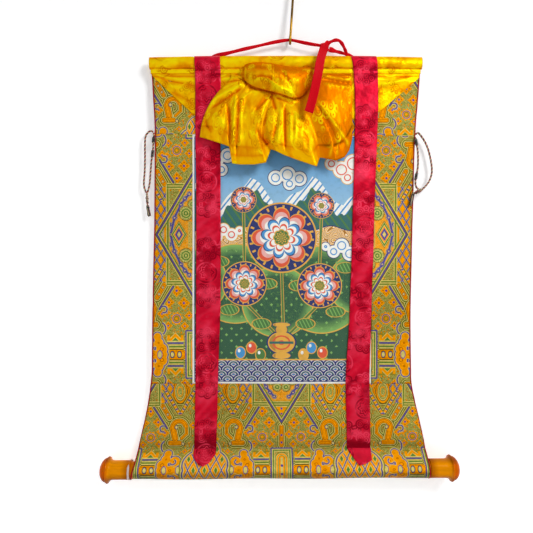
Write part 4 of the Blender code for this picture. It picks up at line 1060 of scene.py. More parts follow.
def picture_finish(tint):
    """Mineral paint on cotton: blooms, clouds, hills, a vase and waves, with a plain border."""
    paint = Finish("painted cotton", tint.sky, 0.6, Specular_IOR_Level=0.12)
    over, rings, lay = paint.over, paint.rings, paint.lay()
    x, y = lay.part(0), lay.part(1)
    point = paint.pair(x, y)
    brush = paint.grain(lay, 0.16, 4.0)
    over(y.span(6.0, 96.0) * 0.9, tint.pale_sky)

    # snow peaks with folded flanks
    ridge = x.fold(31.0) * 0.95 + (x * 0.21).math("SINE") * 3.0
    peak = y + 1.0 - (74.0 - ridge)
    over(peak > 0.0, tint.white)
    over((peak > 0.0) & ((x + y * 0.8).fold(3.4) < 1.0), tint.sky)
    below_snow = (peak - (x * 0.6).math("SINE") * 2.0) > 11.0
    over(below_snow, tint.teal)
    over(below_snow & ((x - y * 0.7).fold(4.2) < 1.1), tint.moss)

    # golden meadow with curling brush lines, and a dark bank below it
    swirl = (paint.grain(lay, 0.07, 0.5) * 13.0).fold(0.5)
    meadow = y + (x * 0.16).math("SINE") * 2.4
    furrow = tuple(c * f for c, f in zip(tint.gold, (0.5, 0.34, 0.2)))
    for mask, shade in (
            (meadow > 94.0, tint.navy), (meadow > 95.0, tint.gold), ((meadow > 95.0) & (swirl < 0.1), furrow),
            ((meadow > 95.0) & swirl.near(0.25, 0.05), tint.white), (meadow > 172.0, tint.gold),
            (meadow > 173.0, tint.forest)):
        over(mask, shade)

    # rounded hills, each lighter at its rim
    for hill_x, hill_y, radius in PAINTED_HILLS:
        rim = point.vector("DISTANCE", (hill_x, hill_y, 0)) / radius
        rings(rim, ((1.0, tint.gold), (0.975, tint.leaf)))
        over(rim.span(0.96, 0.7) & (rim < 0.975), tint.forest)
        over((rim < 0.9) & ((rim * 7.0 + swirl * 1.4).fold(0.5) < 0.07), tint.moss)
    tufts = (x + (y / 6.0).math("FLOOR") * 5.0).fold(5.0) + abs(y.math("WRAP", 6.0, 0.0) - 3.0)
    over((y > 112.0) & (tufts < 1.5) & (brush > 0.47), tint.leaf)

    # cloud banks drawn with echo lines, blue and coral in turn
    for bank, puffs in enumerate(PAINTED_CLOUDS):
        puff = nearest_of([point.vector("DISTANCE", (px, py, 0)) - r for px, py, r in puffs])
        outline, shade = (tint.gold, tint.coral) if bank % 2 else (tint.navy, tint.sky)
        rings(puff, ((1.0, outline), (0.2, tint.white)))
        over((puff < -0.8) & (puff.fold(1.5) < 0.55), shade)
        over(puff < -5.2, tint.white)

    # stems, leaves and blooms
    for stem in PAINTED_STEMS:
        rings(segment(point, *stem), ((1.5, tint.gold), (1.0, tint.moss)))
    for leaf_x, leaf_y in PAINTED_LEAVES:
        leaf = oval(point, leaf_x, leaf_y, 10.0, 5.6)
        rings(leaf, ((1.0, tint.gold), (0.9, tint.moss)))
        over((leaf < 0.84) & ((x - y * 0.5).fold(1.8) < 0.5), tint.leaf)
    for flower in PAINTED_BLOOMS:
        bloom(paint, point, *flower, tint)

    # vase with jewels beside it
    belly = oval(point, 0.0, 209.0, 15.0, 12.0)
    vase = nearest_of([belly] + [oval(point, 0.0, *part) for part in ((196.0, 6.4, 5.2), (222.0, 10.0, 3.6),
                                                                      (191.0, 9.6, 2.4))])
    rings(vase, ((1.0, tint.navy), (0.9, tint.gold)))
    over((vase < 0.82) & (x + 6.0 < 0.0), darker(tint.gold, 0.6))
    over(belly.near(0.55, 0.06) | (belly < 0.2), tint.coral)
    over((belly < 0.8) & y.near(209.0, 1.2), tint.teal)
    for jewel_x, jewel_y, shade in ((-30, 214, tint.coral), (-41, 219, tint.sky), (30, 214, tint.sky),
                                    (41, 219, tint.coral), (-21, 221, tint.moss), (22, 221, tint.gold)):
        rings(oval(point, jewel_x, jewel_y, 5.4, 6.4), ((1.0, tint.gold), (0.84, shade)))
        over(oval(point, jewel_x - 1.4, jewel_y - 2.0, 1.4, 1.8) < 1.0, tint.white)

    # waves in rows along the foot
    low = y - 226.0
    scale_x = (x + (low / 5.0).math("FLOOR") * 6.0).math("WRAP", 6.0, -6.0)
    scale_y = low.math("WRAP", 5.0, 0.0)
    crest = paint.pair(scale_x, (scale_y - 5.5) * 1.15).vector("LENGTH")
    water = low > 0.0
    over(water, tint.navy)
    over(water & (crest.fold(1.25) < 0.3), tint.white)
    over(water & (crest > 3.4) & (crest < 4.4), tint.teal)
    over(water & (crest < 1.6), tint.sky)
    over(low.near(0.0, 0.7), tint.gold)

    # border and bare edge of the cotton
    edge = abs(x).math("MAXIMUM", abs(y - 125.5) - 35.5)
    over(edge > 86.4, tint.navy)
    over(edge > 87.2, tint.white)
    threads = weave(x, y, 0.45)
    over(brush.span(0.5, 0.8) * 0.22, darker(tint.forest, 0.5))
    over(threads * 0.07, tint.white)
    return paint.done(brush * 0.25 + 0.42, threads * 0.6 + brush, 0.0002, 0.5)


# ---------------------------------------------------------------- sizes and colours

def length(name, description, default, low=0.0):
    return bpy.props.FloatProperty(name=name, description=description, default=default, min=low,
                                   unit="LENGTH", precision=4)


def tint(name, description, red, green, blue):
    return bpy.props.FloatVectorProperty(name=name, description=description, subtype="COLOR", size=3, min=0.0,
                                         max=1.0, default=srgb(red, green, blue))


class ScrollSizes(bpy.types.PropertyGroup):
    """Sizes of the scroll's soft parts."""
    ripple: length("Ripple", "How far the flat cloth waves out of its plane", 0.0008)
    brocade_cloth: length("Brocade", "Thickness of the brocade with its backing", 0.0012, 0.0002)
    picture_cloth: length("Picture", "Thickness of the painted cotton", 0.0008, 0.0002)
    ribbon_cloth: length("Ribbon", "Thickness of the crimson ribbons", 0.001, 0.0002)
    veil_cloth: length("Veil", "Thickness of the golden veil, with its hem", 0.0009, 0.0002)
    ribbon_swell: length("Ribbon swell", "How far the ribbons lift between their stitches", 0.0011)
    veil_wrinkle: length("Veil wrinkle", "Height of the small wrinkles that radiate from the gather", 0.0022)
    piping: length("Piping", "Diameter of the piping", 0.0024, 0.0005)
    tape_width: length("Tape width", "Width of the hanging tape, folded lengthwise", 0.0046, 0.001)
    tail_width: length("Tail width", "Width of the tape's free end, lying flat", 0.014, 0.002)
    tie_yarn: length("Tie yarn", "Diameter of the twisted side ties", 0.003, 0.001)
    hook_wire: length("Hook wire", "Diameter of the hook's wire", 0.004, 0.001)


class ScrollColours(bpy.types.PropertyGroup):
    """Colours of the scroll's finishes."""
    gold_silk: tint("Golden silk", "Heading and veil", 255, 196, 4)
    gold_shade: tint("Golden silk, figure", "Figure of the golden damask", 206, 112, 0)
    crimson: tint("Crimson satin", "Ribbons", 228, 18, 50)
    crimson_shade: tint("Crimson satin, figure", "Figure of the crimson damask", 140, 0, 24)
    # Painted shade inside the folds and painted highlights on the ridges of the golden silk and the crimson
    # satin:
    gold_painted_shade: tint("Golden silk, folds", "Inside the folds of the golden silk", 226, 118, 0)
    gold_painted_highlight: tint("Golden silk, ridges", "Ridges of the golden silk", 255, 226, 8)
    crimson_painted_shade: tint("Crimson satin, folds", "Inside the folds of the crimson satin", 142, 0, 22)
    crimson_painted_highlight: tint("Crimson satin, ridges", "Ridges of the crimson satin", 244, 62, 92)
    tape_red: tint("Tape red", "Hanging tape", 222, 8, 26)
    olive: tint("Brocade olive", "Ground of the brocade", 148, 136, 40)
    orange: tint("Brocade orange", "Figures of the brocade", 242, 152, 2)
    violet: tint("Brocade violet", "Lines of the brocade", 84, 78, 150)
    cream: tint("Brocade cream", "Fine lines of the brocade", 216, 198, 108)
    leaf_green: tint("Brocade green", "Fine lines and leaves of the brocade", 88, 134, 56)
    shadow: tint("Brocade shadow", "Sunk edges of the figures", 92, 70, 22)
    piping_red: tint("Piping", "Piping along the brocade's edges", 178, 4, 18)
    brass: tint("Brass", "Bright part of the hook", 200, 150, 50)
    brass_brown: tint("Tarnish", "Brown part of the hook", 74, 56, 34)
    amber: tint("Amber lacquer", "Roller knobs", 244, 150, 2)
    amber_red: tint("Red lacquer", "Domes of the roller knobs", 214, 82, 0)
    wood: tint("Wood", "Bottom rod", 196, 164, 120)
    lining: tint("Lining", "Lining behind the brocade", 226, 214, 205)
    lining_shade: tint("Lining, aged", "Worn patches of the lining", 214, 178, 172)
    yarn_red: tint("Yarn red", "First ply of the side ties", 178, 30, 26)
    yarn_green: tint("Yarn green", "Second ply of the side ties", 18, 30, 24)
    yarn_pale: tint("Yarn pale", "Third ply of the side ties", 232, 206, 160)
    white: tint("Paint white", "Clouds, petals and the picture's bare edge", 252, 250, 242)
    sky: tint("Paint sky blue", "Sky and cloud shades", 60, 150, 214)
    pale_sky: tint("Paint pale blue", "Sky above the peaks", 176, 214, 232)
    navy: tint("Paint deep blue", "Rings behind the blooms and outlines", 12, 34, 108)
    forest: tint("Paint deep green", "Meadow", 36, 88, 58)
    teal: tint("Paint blue-green", "Rocks and water", 36, 104, 100)
    leaf: tint("Paint leaf green", "Hills and tufts", 130, 184, 92)
    moss: tint("Paint moss", "Stems and leaves", 70, 124, 56)
    coral: tint("Paint coral", "Petals and jewels", 232, 84, 48)
    gold: tint("Paint gold", "Outlines, rays and the vase", 236, 176, 62)


@functools.cache
def finish_of(maker):
    """A finish from its maker, made when it is first asked for."""
    return maker(bpy.context.scene.scroll_colours)


# ---------------------------------------------------------------- pieces

SENSOR_MM = 36.0
FRAME_MM = 884.8            # what the photograph takes in at the brocade's middle plane
CAMERA_AT = (-0.0443, -0.8, -0.4658)
LIGHTS_AIM = Vector((-0.03, 0.0, -0.45))
LIGHTS = (                  # name, place, size, power
    ("key light", (0.75, -1.0, 0.35), 0.5, 12.5), ("fill light", (-1.0, -1.3, -0.3), 1.6, 3.0),
    ("low light", (0.2, -1.4, -1.0), 1.2, 1.2), ("back light", (0.2, 1.6, 0.2), 1.5, 20.0),
)
STAGE_HALF = 2.0            # half the wall's and the floor's side


def plaster_finish():
    """White plaster that glows a little as painted light, more where it is further from the key light, and is
    seen through from behind.
    """
    plaster = Finish("white plaster", (0.93, 0.93, 0.93), 0.9, Emission_Color=(1.0, 1.0, 1.0))
    at, tree = plaster.where(), plaster.tree
    plaster.over(plaster.grain(at, 3.0, 2.0) * 0.1, (0.9, 0.9, 0.91))
    up, right = at.part(2) + 0.05, at.part(0) + 0.489
    # Painted light: the wall glows, more where the key light reaches it less.
    painted_glow = (up * -0.23) - right * (up * 0.37 + 0.425) + 0.35
    tree.links.new(painted_glow.socket, plaster.shader.inputs["Emission Strength"])
    see_through, behind, choose = (tree.nodes.new("ShaderNode" + kind)
                                   for kind in ("BsdfTransparent", "NewGeometry", "MixShader"))
    sockets = behind.outputs["Backfacing"], plaster.shader.outputs[0], see_through.outputs[0]
    for i, socket in enumerate(sockets):
        tree.links.new(socket, choose.inputs[i])
    tree.links.new(choose.outputs[0], tree.nodes["Material Output"].inputs["Surface"])
    return plaster.done()


def floor_finish():
    """Pale floor with a few specks."""
    floor = Finish("pale floor", (0.86, 0.86, 0.85), 0.8)
    floor.over(floor.grain(floor.where(), 9.0, 3.0) * 0.2, (0.8, 0.8, 0.79))
    return floor.done()


def set_up_stage():
    """Camera, lights, wall and floor."""
    scene = bpy.context.scene
    camera = bpy.data.objects.new("camera", bpy.data.cameras.new("camera"))
    camera.data.sensor_width = SENSOR_MM
    camera.data.lens = SENSOR_MM * CAMERA_MM / FRAME_MM
    camera.location = CAMERA_AT
    camera.rotation_euler = (math.pi / 2, 0.0, 0.0)
    bpy.context.collection.objects.link(camera)
    scene.camera = camera
    scene.view_settings.view_transform = "Standard"

    for name, at, size, power in LIGHTS:
        light = bpy.data.lights.new(name, "AREA")
        light.shape = "DISK"
        light.size = size
        light.energy = power
        lamp = bpy.data.objects.new(name, light)
        lamp.location = at
        lamp.rotation_euler = (LIGHTS_AIM - Vector(at)).to_track_quat("-Z", "Y").to_euler()
        bpy.context.collection.objects.link(lamp)
    world = bpy.data.worlds.new("studio")
    scene.world = world
    world.use_nodes = True
    background = world.node_tree.nodes["Background"].inputs
    background["Color"].default_value = (0.96, 0.98, 1.0, 1.0)
    background["Strength"].default_value = 0.3

    for name, centre, turn, finish in (("wall", (0.0, 0.0135, 0.0), math.pi / 2, plaster_finish()),
                                       ("floor", (0.0, 0.0, -1.15), 0.0, floor_finish())):
        bm = bmesh.new()
        bmesh.ops.create_grid(bm, x_segments=8, y_segments=8, size=STAGE_HALF)
        for vert in bm.verts:
            x, y, _ = vert.co
            vert.co = Vector((x, y * math.cos(turn), y * math.sin(turn))) + Vector(centre)
        finish_mesh(name, bm, [finish], closed=False)


def make_hook():
    """Brass wire with a closed eye above and a J bend that holds the tape."""
    wire = mm("hook_wire") / 2
    route = []
    for i in range(40):
        turn = math.radians(242 - 307 * i / 39)
        route.append((HOOK_ACROSS + HOOK_EYE_RADIUS * math.cos(turn),
                      HOOK_EYE_DOWN - HOOK_EYE_RADIUS * math.sin(turn), 0.0))
    neck = HOOK_EYE_DOWN + HOOK_EYE_RADIUS
    route += [(HOOK_ACROSS + 0.5, neck + 2.4, 0.0), (HOOK_ACROSS, neck + 6.0, 0.2)]
    for f in (0.1, 0.2, 0.35, 0.5, 0.65, 0.8, 0.9, 1.0):
        route.append((HOOK_ACROSS + (HOOK_BEND_ACROSS - HOOK_ACROSS) * f,
                      neck + 6.0 + (HOOK_BEND_DOWN - neck - 6.0) * f, HOOK_BEND_RADIUS * f))
    for i in range(1, 13):
        turn = math.pi * i / 12
        route.append((HOOK_BEND_ACROSS, HOOK_BEND_DOWN + HOOK_BEND_RADIUS * math.sin(turn),
                      HOOK_BEND_RADIUS * math.cos(turn)))
    route.append((HOOK_BEND_ACROSS, HOOK_BEND_DOWN - HOOK_TIP_RISE, -HOOK_BEND_RADIUS - 0.4))
    points = even_route(route, 1.2)
    bm = bmesh.new()
    sweep(bm, points, round_section(wire, lambda f: min(1.0, 0.8 + 12 * f, 0.72 + 9 * (1 - f))), 20)
    attach(finish_mesh("hook_wire", bm, [finish_of(brass_finish)]), "hook")


def make_heading():
    """Sleeve round the top rod, gathered a little, with the flat hem sewn on under it."""
    left, right = HEADING_LENGTH
    half_height, half_depth = HEADING_HEIGHT / 2, HEADING_DEPTH / 2

    def surface(u, v):
        turn = 2 * math.pi * v + math.pi / 2 + 0.35
        across = left + (right - left) * u
        down = half_height + half_height * math.sin(turn)
        out = HEADING_OUT + half_depth * math.cos(turn)
        pucker = 0.45 * rumple(across / 9.0, turn * 1.4, 3.0) + 0.3 * math.sin(across / 17.0 + turn)
        out += pucker * math.cos(turn)
        down += 0.35 * rumple(across / 22.0, turn, 8.0)
        # Painted light on the sleeve: lighter and darker with the puckers, a painted highlight round its
        # middle and painted shade at its lower edge.
        ridge = 1.4 * pucker + 0.45 * hump(down, 9.0, 4.0) - 0.9 * ease(17.5, 20.5, down)
        return ((across, down + heading_top(across) * (1 - down / FLANGE_DOWN), out),
                (across, 40.0 - v * 58.0, ridge))

    thick, silk = mm("veil_cloth"), finish_of(golden_silk)
    sleeve = cloth("heading_sleeve", surface, 220, 30, thick, silk)

    def flange(u, v):
        across = left + 2.0 + (right - left - 4.0) * u
        down = HEADING_HEIGHT - 2.5 + (FLANGE_DOWN + 1.2 - HEADING_HEIGHT + 2.5) * v
        bulge = 1.1 * math.sin(math.pi * ease(0.0, 1.0, v)) + 0.4 * rumple(across / 8.0, v * 2, 1.0)
        edge = 0.5 * rumple(across / 14.0, 5.0, 1.0) * v
        # Painted light on the hem: lighter across its middle, painted shade at its top and along its lower
        # edge.
        ridge = 0.8 * math.sin(3 * v - 0.4) - 1.4 * ease(0.8, 1.0, v) - 0.6 * ease(0.4, 0.1, v)
        return ((across, down + edge + heading_top(across) * (1 - down / FLANGE_DOWN), 2.3 + bulge * 0.7),
                (across, 60.0 + down, ridge))
    hem = cloth("heading_hem", flange, 200, 10, thick, silk)
    for piece in (sleeve, hem):
        attach(piece, "heading")


def brocade_edges(along):
    """Left and right edge of the brocade itself, inside its piping."""
    left, right = table_at(OUTLINE, along)
    inset = mm("piping") - 0.5
    return left + inset, right - inset


def brocade_painted_light(across, along):
    """Painted light and shade on the silk: with the waves in the cloth and at random, painted shade from
    above the crease on, a painted highlight on the pocket and painted shade where it turns under the rod.
    """
    waves = ripple(across, along) * 0.4 + 0.5 * rumple(across / 60.0, along / 45.0, 2.0)
    pocket = ease(CREASE - 3, CREASE + 3, along) * (1.7 - 3.0 * ease(685, 694, along))
    return waves - 0.9 * ease(CREASE - 22, CREASE - 2, along) + pocket


def round_the_rod(across, below, before):
    """World place from one seen from the rod's axis, which isn't quite level."""
    return place(across, ROD_DOWN + below - ROD_SLOPE * across, ROD_OUT + before)


def make_lining_roll():
    """Frayed end of the lining, wound round the shoulder of the left knob."""
    bm = bmesh.new()
    bmesh.ops.create_grid(bm, x_segments=6, y_segments=90, size=1.0)
    for vert in bm.verts:
        share = (vert.co.y + 1) / 2
        turn = 0.6 + 5.3 * share
        radius = KNOB_RADIUS + 0.5 + 0.3 * share + 0.25 * rumple(turn * 3.0, 1.0, 5.0)
        ragged = 0.9 * rumple(turn * 2.0, 3.0, 1.0) * max(0.0, -vert.co.x)
        across = -247.4 + vert.co.x * 1.7 * ease(0.0, 0.08, share) + ragged
        vert.co = round_the_rod(across, -radius * math.cos(turn), radius * math.sin(turn))
    roll = finish_mesh("lining_roll", bm, [finish_of(lining_finish)], closed=False)
    wall = roll.modifiers.new("thickness", "SOLIDIFY")
    wall.thickness = 0.0003
    wall.offset = 0.0
    return attach(roll, "lining_end")


def make_brocade():
    """The four panels of brocade round the picture, the lowest one with the rod's pocket."""
    finish, lining = finish_of(brocade_cloth), finish_of(lining_finish)

    def top(u, v):
        left, right = brocade_edges(OUTLINE[0][0] + (TOP_SEAM[0] - OUTLINE[0][0]) * v)
        across = left + (right - left) * u
        along = 18.0 + (top_seam(across) + 0.6 - 18.0) * v
        return (on_brocade(across, along, 0.25 * ease(0.94, 1.0, v)),
                (across / PHOTO_MM + 6.0, along / PHOTO_MM + 20.0, brocade_painted_light(across, along)))

    def side(is_left):
        def surface(u, v):
            left, right = brocade_edges(TOP_SEAM[0] + (BOTTOM_SEAM - TOP_SEAM[0]) * v)
            left, right = (left, PICTURE_SIDE[0] + 0.8) if is_left else (PICTURE_SIDE[1] - 0.8, right)
            across = left + (right - left) * u
            start = top_seam(across)
            along = start + (BOTTOM_SEAM - start) * v
            inwards = -140.3 - across if is_left else across - 140.3
            return on_brocade(across, along), (inwards / PHOTO_MM * 0.96, (along / PHOTO_MM - 177.5) * 0.9258,
                                               brocade_painted_light(across, along))
        return surface

    stations = [BOTTOM_SEAM - 0.4 + (CREASE - BOTTOM_SEAM + 0.4) * i / 40 for i in range(41)]
    stations += [CREASE + row[0] for row in POCKET[1:]]

    def bottom(u, v):
        along = stations[round(v * (len(stations) - 1))]
        left, right = brocade_edges(along)
        across = left + (right - left) * u
        curl = 1.3 * max(0.0, abs(2 * u - 1) - 0.93) / 0.07 * plateau(along, 560, 610, 636, 648)
        return (on_brocade(across, along, 0.3 * (1 - ease(544, 548, along)) + curl),
                (across / PHOTO_MM, along / PHOTO_MM - 302.0, brocade_painted_light(across, along)))

    width = (OUTLINE[-1][2] - OUTLINE[-1][1]) / 1000
    for name, surface, columns, rows, node, flat, with_pieces in (
            ("top_brocade", top, 120, 36, "top_panel", (0.439, 0.113), []),
            ("left_brocade", side(True), 24, 110, "left_panel", (0.065, 0.414), []),
            ("right_brocade", side(False), 24, 110, "right_panel", (0.069, 0.414), []),
            ("bottom_brocade", bottom, 150, len(stations) - 1, "bottom_panel", (width, 0.2),
             [make_lining_roll()])):
        panel = cloth(name, surface, columns, rows, mm("brocade_cloth"), finish, lining)
        attach(panel, node)


def make_picture():
    """Painted cotton, its bare edge showing inside the brocade."""
    left, right = PICTURE_SIDE[0] - 1.2, PICTURE_SIDE[1] + 1.2

    def surface(u, v):
        across = left + (right - left) * u
        top = top_seam(across) - 1.0
        down = top + (BOTTOM_SEAM + 1.4 - top) * v
        return (across, down, 0.5 + ripple(across, down) - 0.15), (across / PHOTO_MM, down / PHOTO_MM - 76.7)
    picture = cloth("painted_picture", surface, 60, 84, mm("picture_cloth"),
                    finish_of(picture_finish), finish_of(lining_finish))
    attach(picture, "painting")


def make_piping():
    """Corded piping down both edges of the brocade and round the pocket."""
    radius = mm("piping") / 2
    last = CREASE + POCKET[-9][0]
    stations = [20.0 + (CREASE - 20.0) * i / 120 for i in range(121)]
    stations += [CREASE + row[0] for row in POCKET[1:] if CREASE + row[0] <= last]
    for name, side, node in (("piping_left", -1, "left_piping"), ("piping_right", 1, "right_piping")):
        points = []
        for along in stations:
            edge = table_at(OUTLINE, along)[0 if side < 0 else 1]
            wander = 0.3 * rumple(along / 16.0, side * 4.0, 0.0)
            points.append(on_brocade(edge - side * radius + wander, along, -0.5))
        bm = bmesh.new()
        sweep(bm, points, round_section(radius), 10)
        attach(finish_mesh(name, bm, [finish_of(piping_finish)]), node)


def ribbon_ride():
    """Front face of a ribbon over the heading, as (distance, out, down) from its crown."""
    points = []
    for degrees in range(86, -56, -10):
        turn = math.radians(degrees)
        swell = 1.6 - 0.4 * ease(40, 70, degrees)
        points.append(Vector((HEADING_OUT + (HEADING_DEPTH / 2 + swell) * math.cos(turn),
                              HEADING_HEIGHT / 2 - (HEADING_HEIGHT / 2 + swell) * math.sin(turn))))
    points += [Vector(p) for p in ((4.6, 23.2), (4.7, 26.5), (4.9, 29.2), (4.3, 31.0), (4.2, 45.0),
                                   (4.2, 60.0), (4.2, 80.0), (4.1, 100.0), (3.6, 112.0), (2.5, 122.0),
                                   (2.1, 132.0))]
    path = [(0.0, *points[0])]
    for a, b in zip(points, points[1:]):
        path.append((path[-1][0] + (b - a).length, *b))
    return path


def make_ribbon(name, edges, end, node, seed):
    """Crimson ribbon from the heading's crown down to its cut end on the pocket."""
    thick, swell = mm("ribbon_cloth"), mm("ribbon_swell")
    ride = ribbon_ride()
    flat_start = ride[-1][2]
    flat = [flat_start + (CREASE - flat_start) * i / 120 for i in range(1, 121)]
    tail_rows = 16
    count = len(ride) + len(flat) + tail_rows

    def lifted(u, along):
        middle = 1 - (2 * u - 1) ** 2
        rise = rumple(seed, along / 26.0, u * 1.4) + 0.8 * rumple(seed + 9, along / 9.0 + 3 * u, u * 1.6)
        rise += 0.4 * math.sin(along / 24.0 + seed + 2.0 * u)
        return swell * (0.35 * middle + 0.55 + 0.7 * rise) * plateau(along, 60, 150, CREASE - 16, CREASE)

    def surface(u, v):
        i = round(v * (count - 1))
        if i < len(ride):
            distance, out, down = ride[i]
            left, right = table_at(edges, max(0.0, down))
            across = left + (right - left) * u
            wave = rumple(seed + 4, down / 7.0, u * 2.0) * ease(24, 34, down)
            # Painted light over the heading: lighter and darker with the wave, painted shade in a crease
            # where the ribbon leaves the sleeve and in a line further down, and a painted highlight between
            # them.
            ridge = wave - 1.1 * hump(down, 22.0 + u, 1.4) + 0.6 * hump(down, 25.5, 1.8)
            ridge -= 0.8 * hump(down, 38.5 + 2.0 * math.sin(5 * u + seed), 1.4)
            return ((across, down + heading_top(across) * max(0.0, 1 - down / FLANGE_DOWN),
                     out + 0.35 * wave + ripple(across, down)), (across, distance - 12.0, ridge))
        i -= len(ride)
        if i < len(flat):
            along = flat[i]
        else:
            share = (i - len(flat) + 1) / tail_rows
            along = CREASE + (straight_at(end, u)[0] - CREASE) * share
        left, right = table_at(edges, along)
        across = left + (right - left) * u
        flick = 1.6 * ease(CREASE + 12, CREASE + 32, along) * (0.6 + 0.4 * math.sin(seed + 3 * u))
        rise = lifted(u, along)
        point = on_brocade(across, along, GAP + thick + max(0.0, rise) + flick)
        # Painted light on the flat part: lighter where the ribbon lifts, painted shade above the pocket's
        # crease and a painted highlight on the pocket.
        ridge = (rise / swell - 0.75) * 0.8 - 0.95 * ease(CREASE - 28, CREASE - 8, along)
        ridge += 1.7 * ease(CREASE - 1, CREASE + 2, along)
        return point, (across, along, max(-1.05, ridge))
    ribbon = cloth(name, surface, 20, count - 1, thick, finish_of(crimson_satin))
    attach(ribbon, node)


def make_ribbons():
    """Both crimson ribbons."""
    make_ribbon("ribbon_left", LEFT_RIBBON, LEFT_RIBBON_END, "left_ribbon", 2.0)
    make_ribbon("ribbon_right", RIGHT_RIBBON, RIGHT_RIBBON_END, "right_ribbon", 31.0)


FOLD_ROWS = [(i, *top, *middle, *hem) for i, (top, middle, hem) in enumerate(FOLDS)]
HOOD_ROWS = [(across, brim, *crest, *lip) for across, brim, crest, lip in HOOD]


def veil_column(u):
    """Points of one fold of the veil, from its seam over the hood to its hem."""
    fold = u * (len(FOLDS) - 1)
    values = table_at(FOLD_ROWS, fold)
    top, middle = Vector(values[0:3]), Vector(values[3:6])
    hem = Vector(straight_at(FOLD_ROWS, fold)[6:9])
    across = top.x
    brim, crest_down, crest_out, lip_down, lip_out = table_at(HOOD_ROWS, across)
    seam = Vector((across, VEIL_SEAM_DOWN, VEIL_SEAM_OUT))
    bunched = [Vector((across, down, out)) for down, out in (
        (brim + 5.0, 8.5), (brim, 14.0),
        ((brim + crest_down) / 2 - 4.0, HOOD_FLAT_OUT + (crest_out - HOOD_FLAT_OUT) * 0.75),
        (crest_down, crest_out), (lip_down, lip_out), (lip_down - 5.0, lip_out - 7.0))]
    full = min(1.0, max(0.0, (crest_out - HOOD_FLAT_OUT) / 8.0))
    flat = [seam.lerp(top, (i + 1) / (len(bunched) + 1)) for i in range(len(bunched))]
    hood = [low.lerp(high, full) for low, high in zip(flat, bunched)]
    return [seam, *hood, top, (top * 3 + middle * 6 - hem) / 8, middle, (middle * 6 + hem * 3 - top) / 8, hem]


def crease_lift(point):
    """How far the placed creases push a point of the veil outwards."""
    nearness = (CAMERA_MM - point.z) / CAMERA_MM
    seen = Vector(((point.x / PHOTO_MM + SCROLL_LEFT) / nearness + PHOTO_MIDDLE,
                   (point.y / PHOTO_MM - SCROLL_UP) / nearness + PHOTO_MIDDLE))
    lift = 0.0
    for height, left_width, right_width, line in CREASES:
        reach = 3.0 * max(left_width, right_width)
        if not (min(p[0] for p in line) - reach < seen.x < max(p[0] for p in line) + reach
                and min(p[1] for p in line) - reach < seen.y < max(p[1] for p in line) + reach):
            continue
        best = None
        for i, (start, stop) in enumerate(zip(line, line[1:])):
            a, b = Vector(start), Vector(stop)
            way = b - a
            share = min(1.0, max(0.0, (seen - a).dot(way) / way.length_squared))
            offset = seen - a - way * share
            if best is None or offset.length < best[0]:
                side = way.x * offset.y - way.y * offset.x
                best = (offset.length, side, (i + share) / (len(line) - 1))
        distance, side, along = best
        width = left_width if side > 0 else right_width
        fade = min(1.0, along / 0.18, (1.0 - along) / 0.18)
        lift += height * math.exp(-(distance / width) ** 1.2) * max(0.0, fade)
    return lift


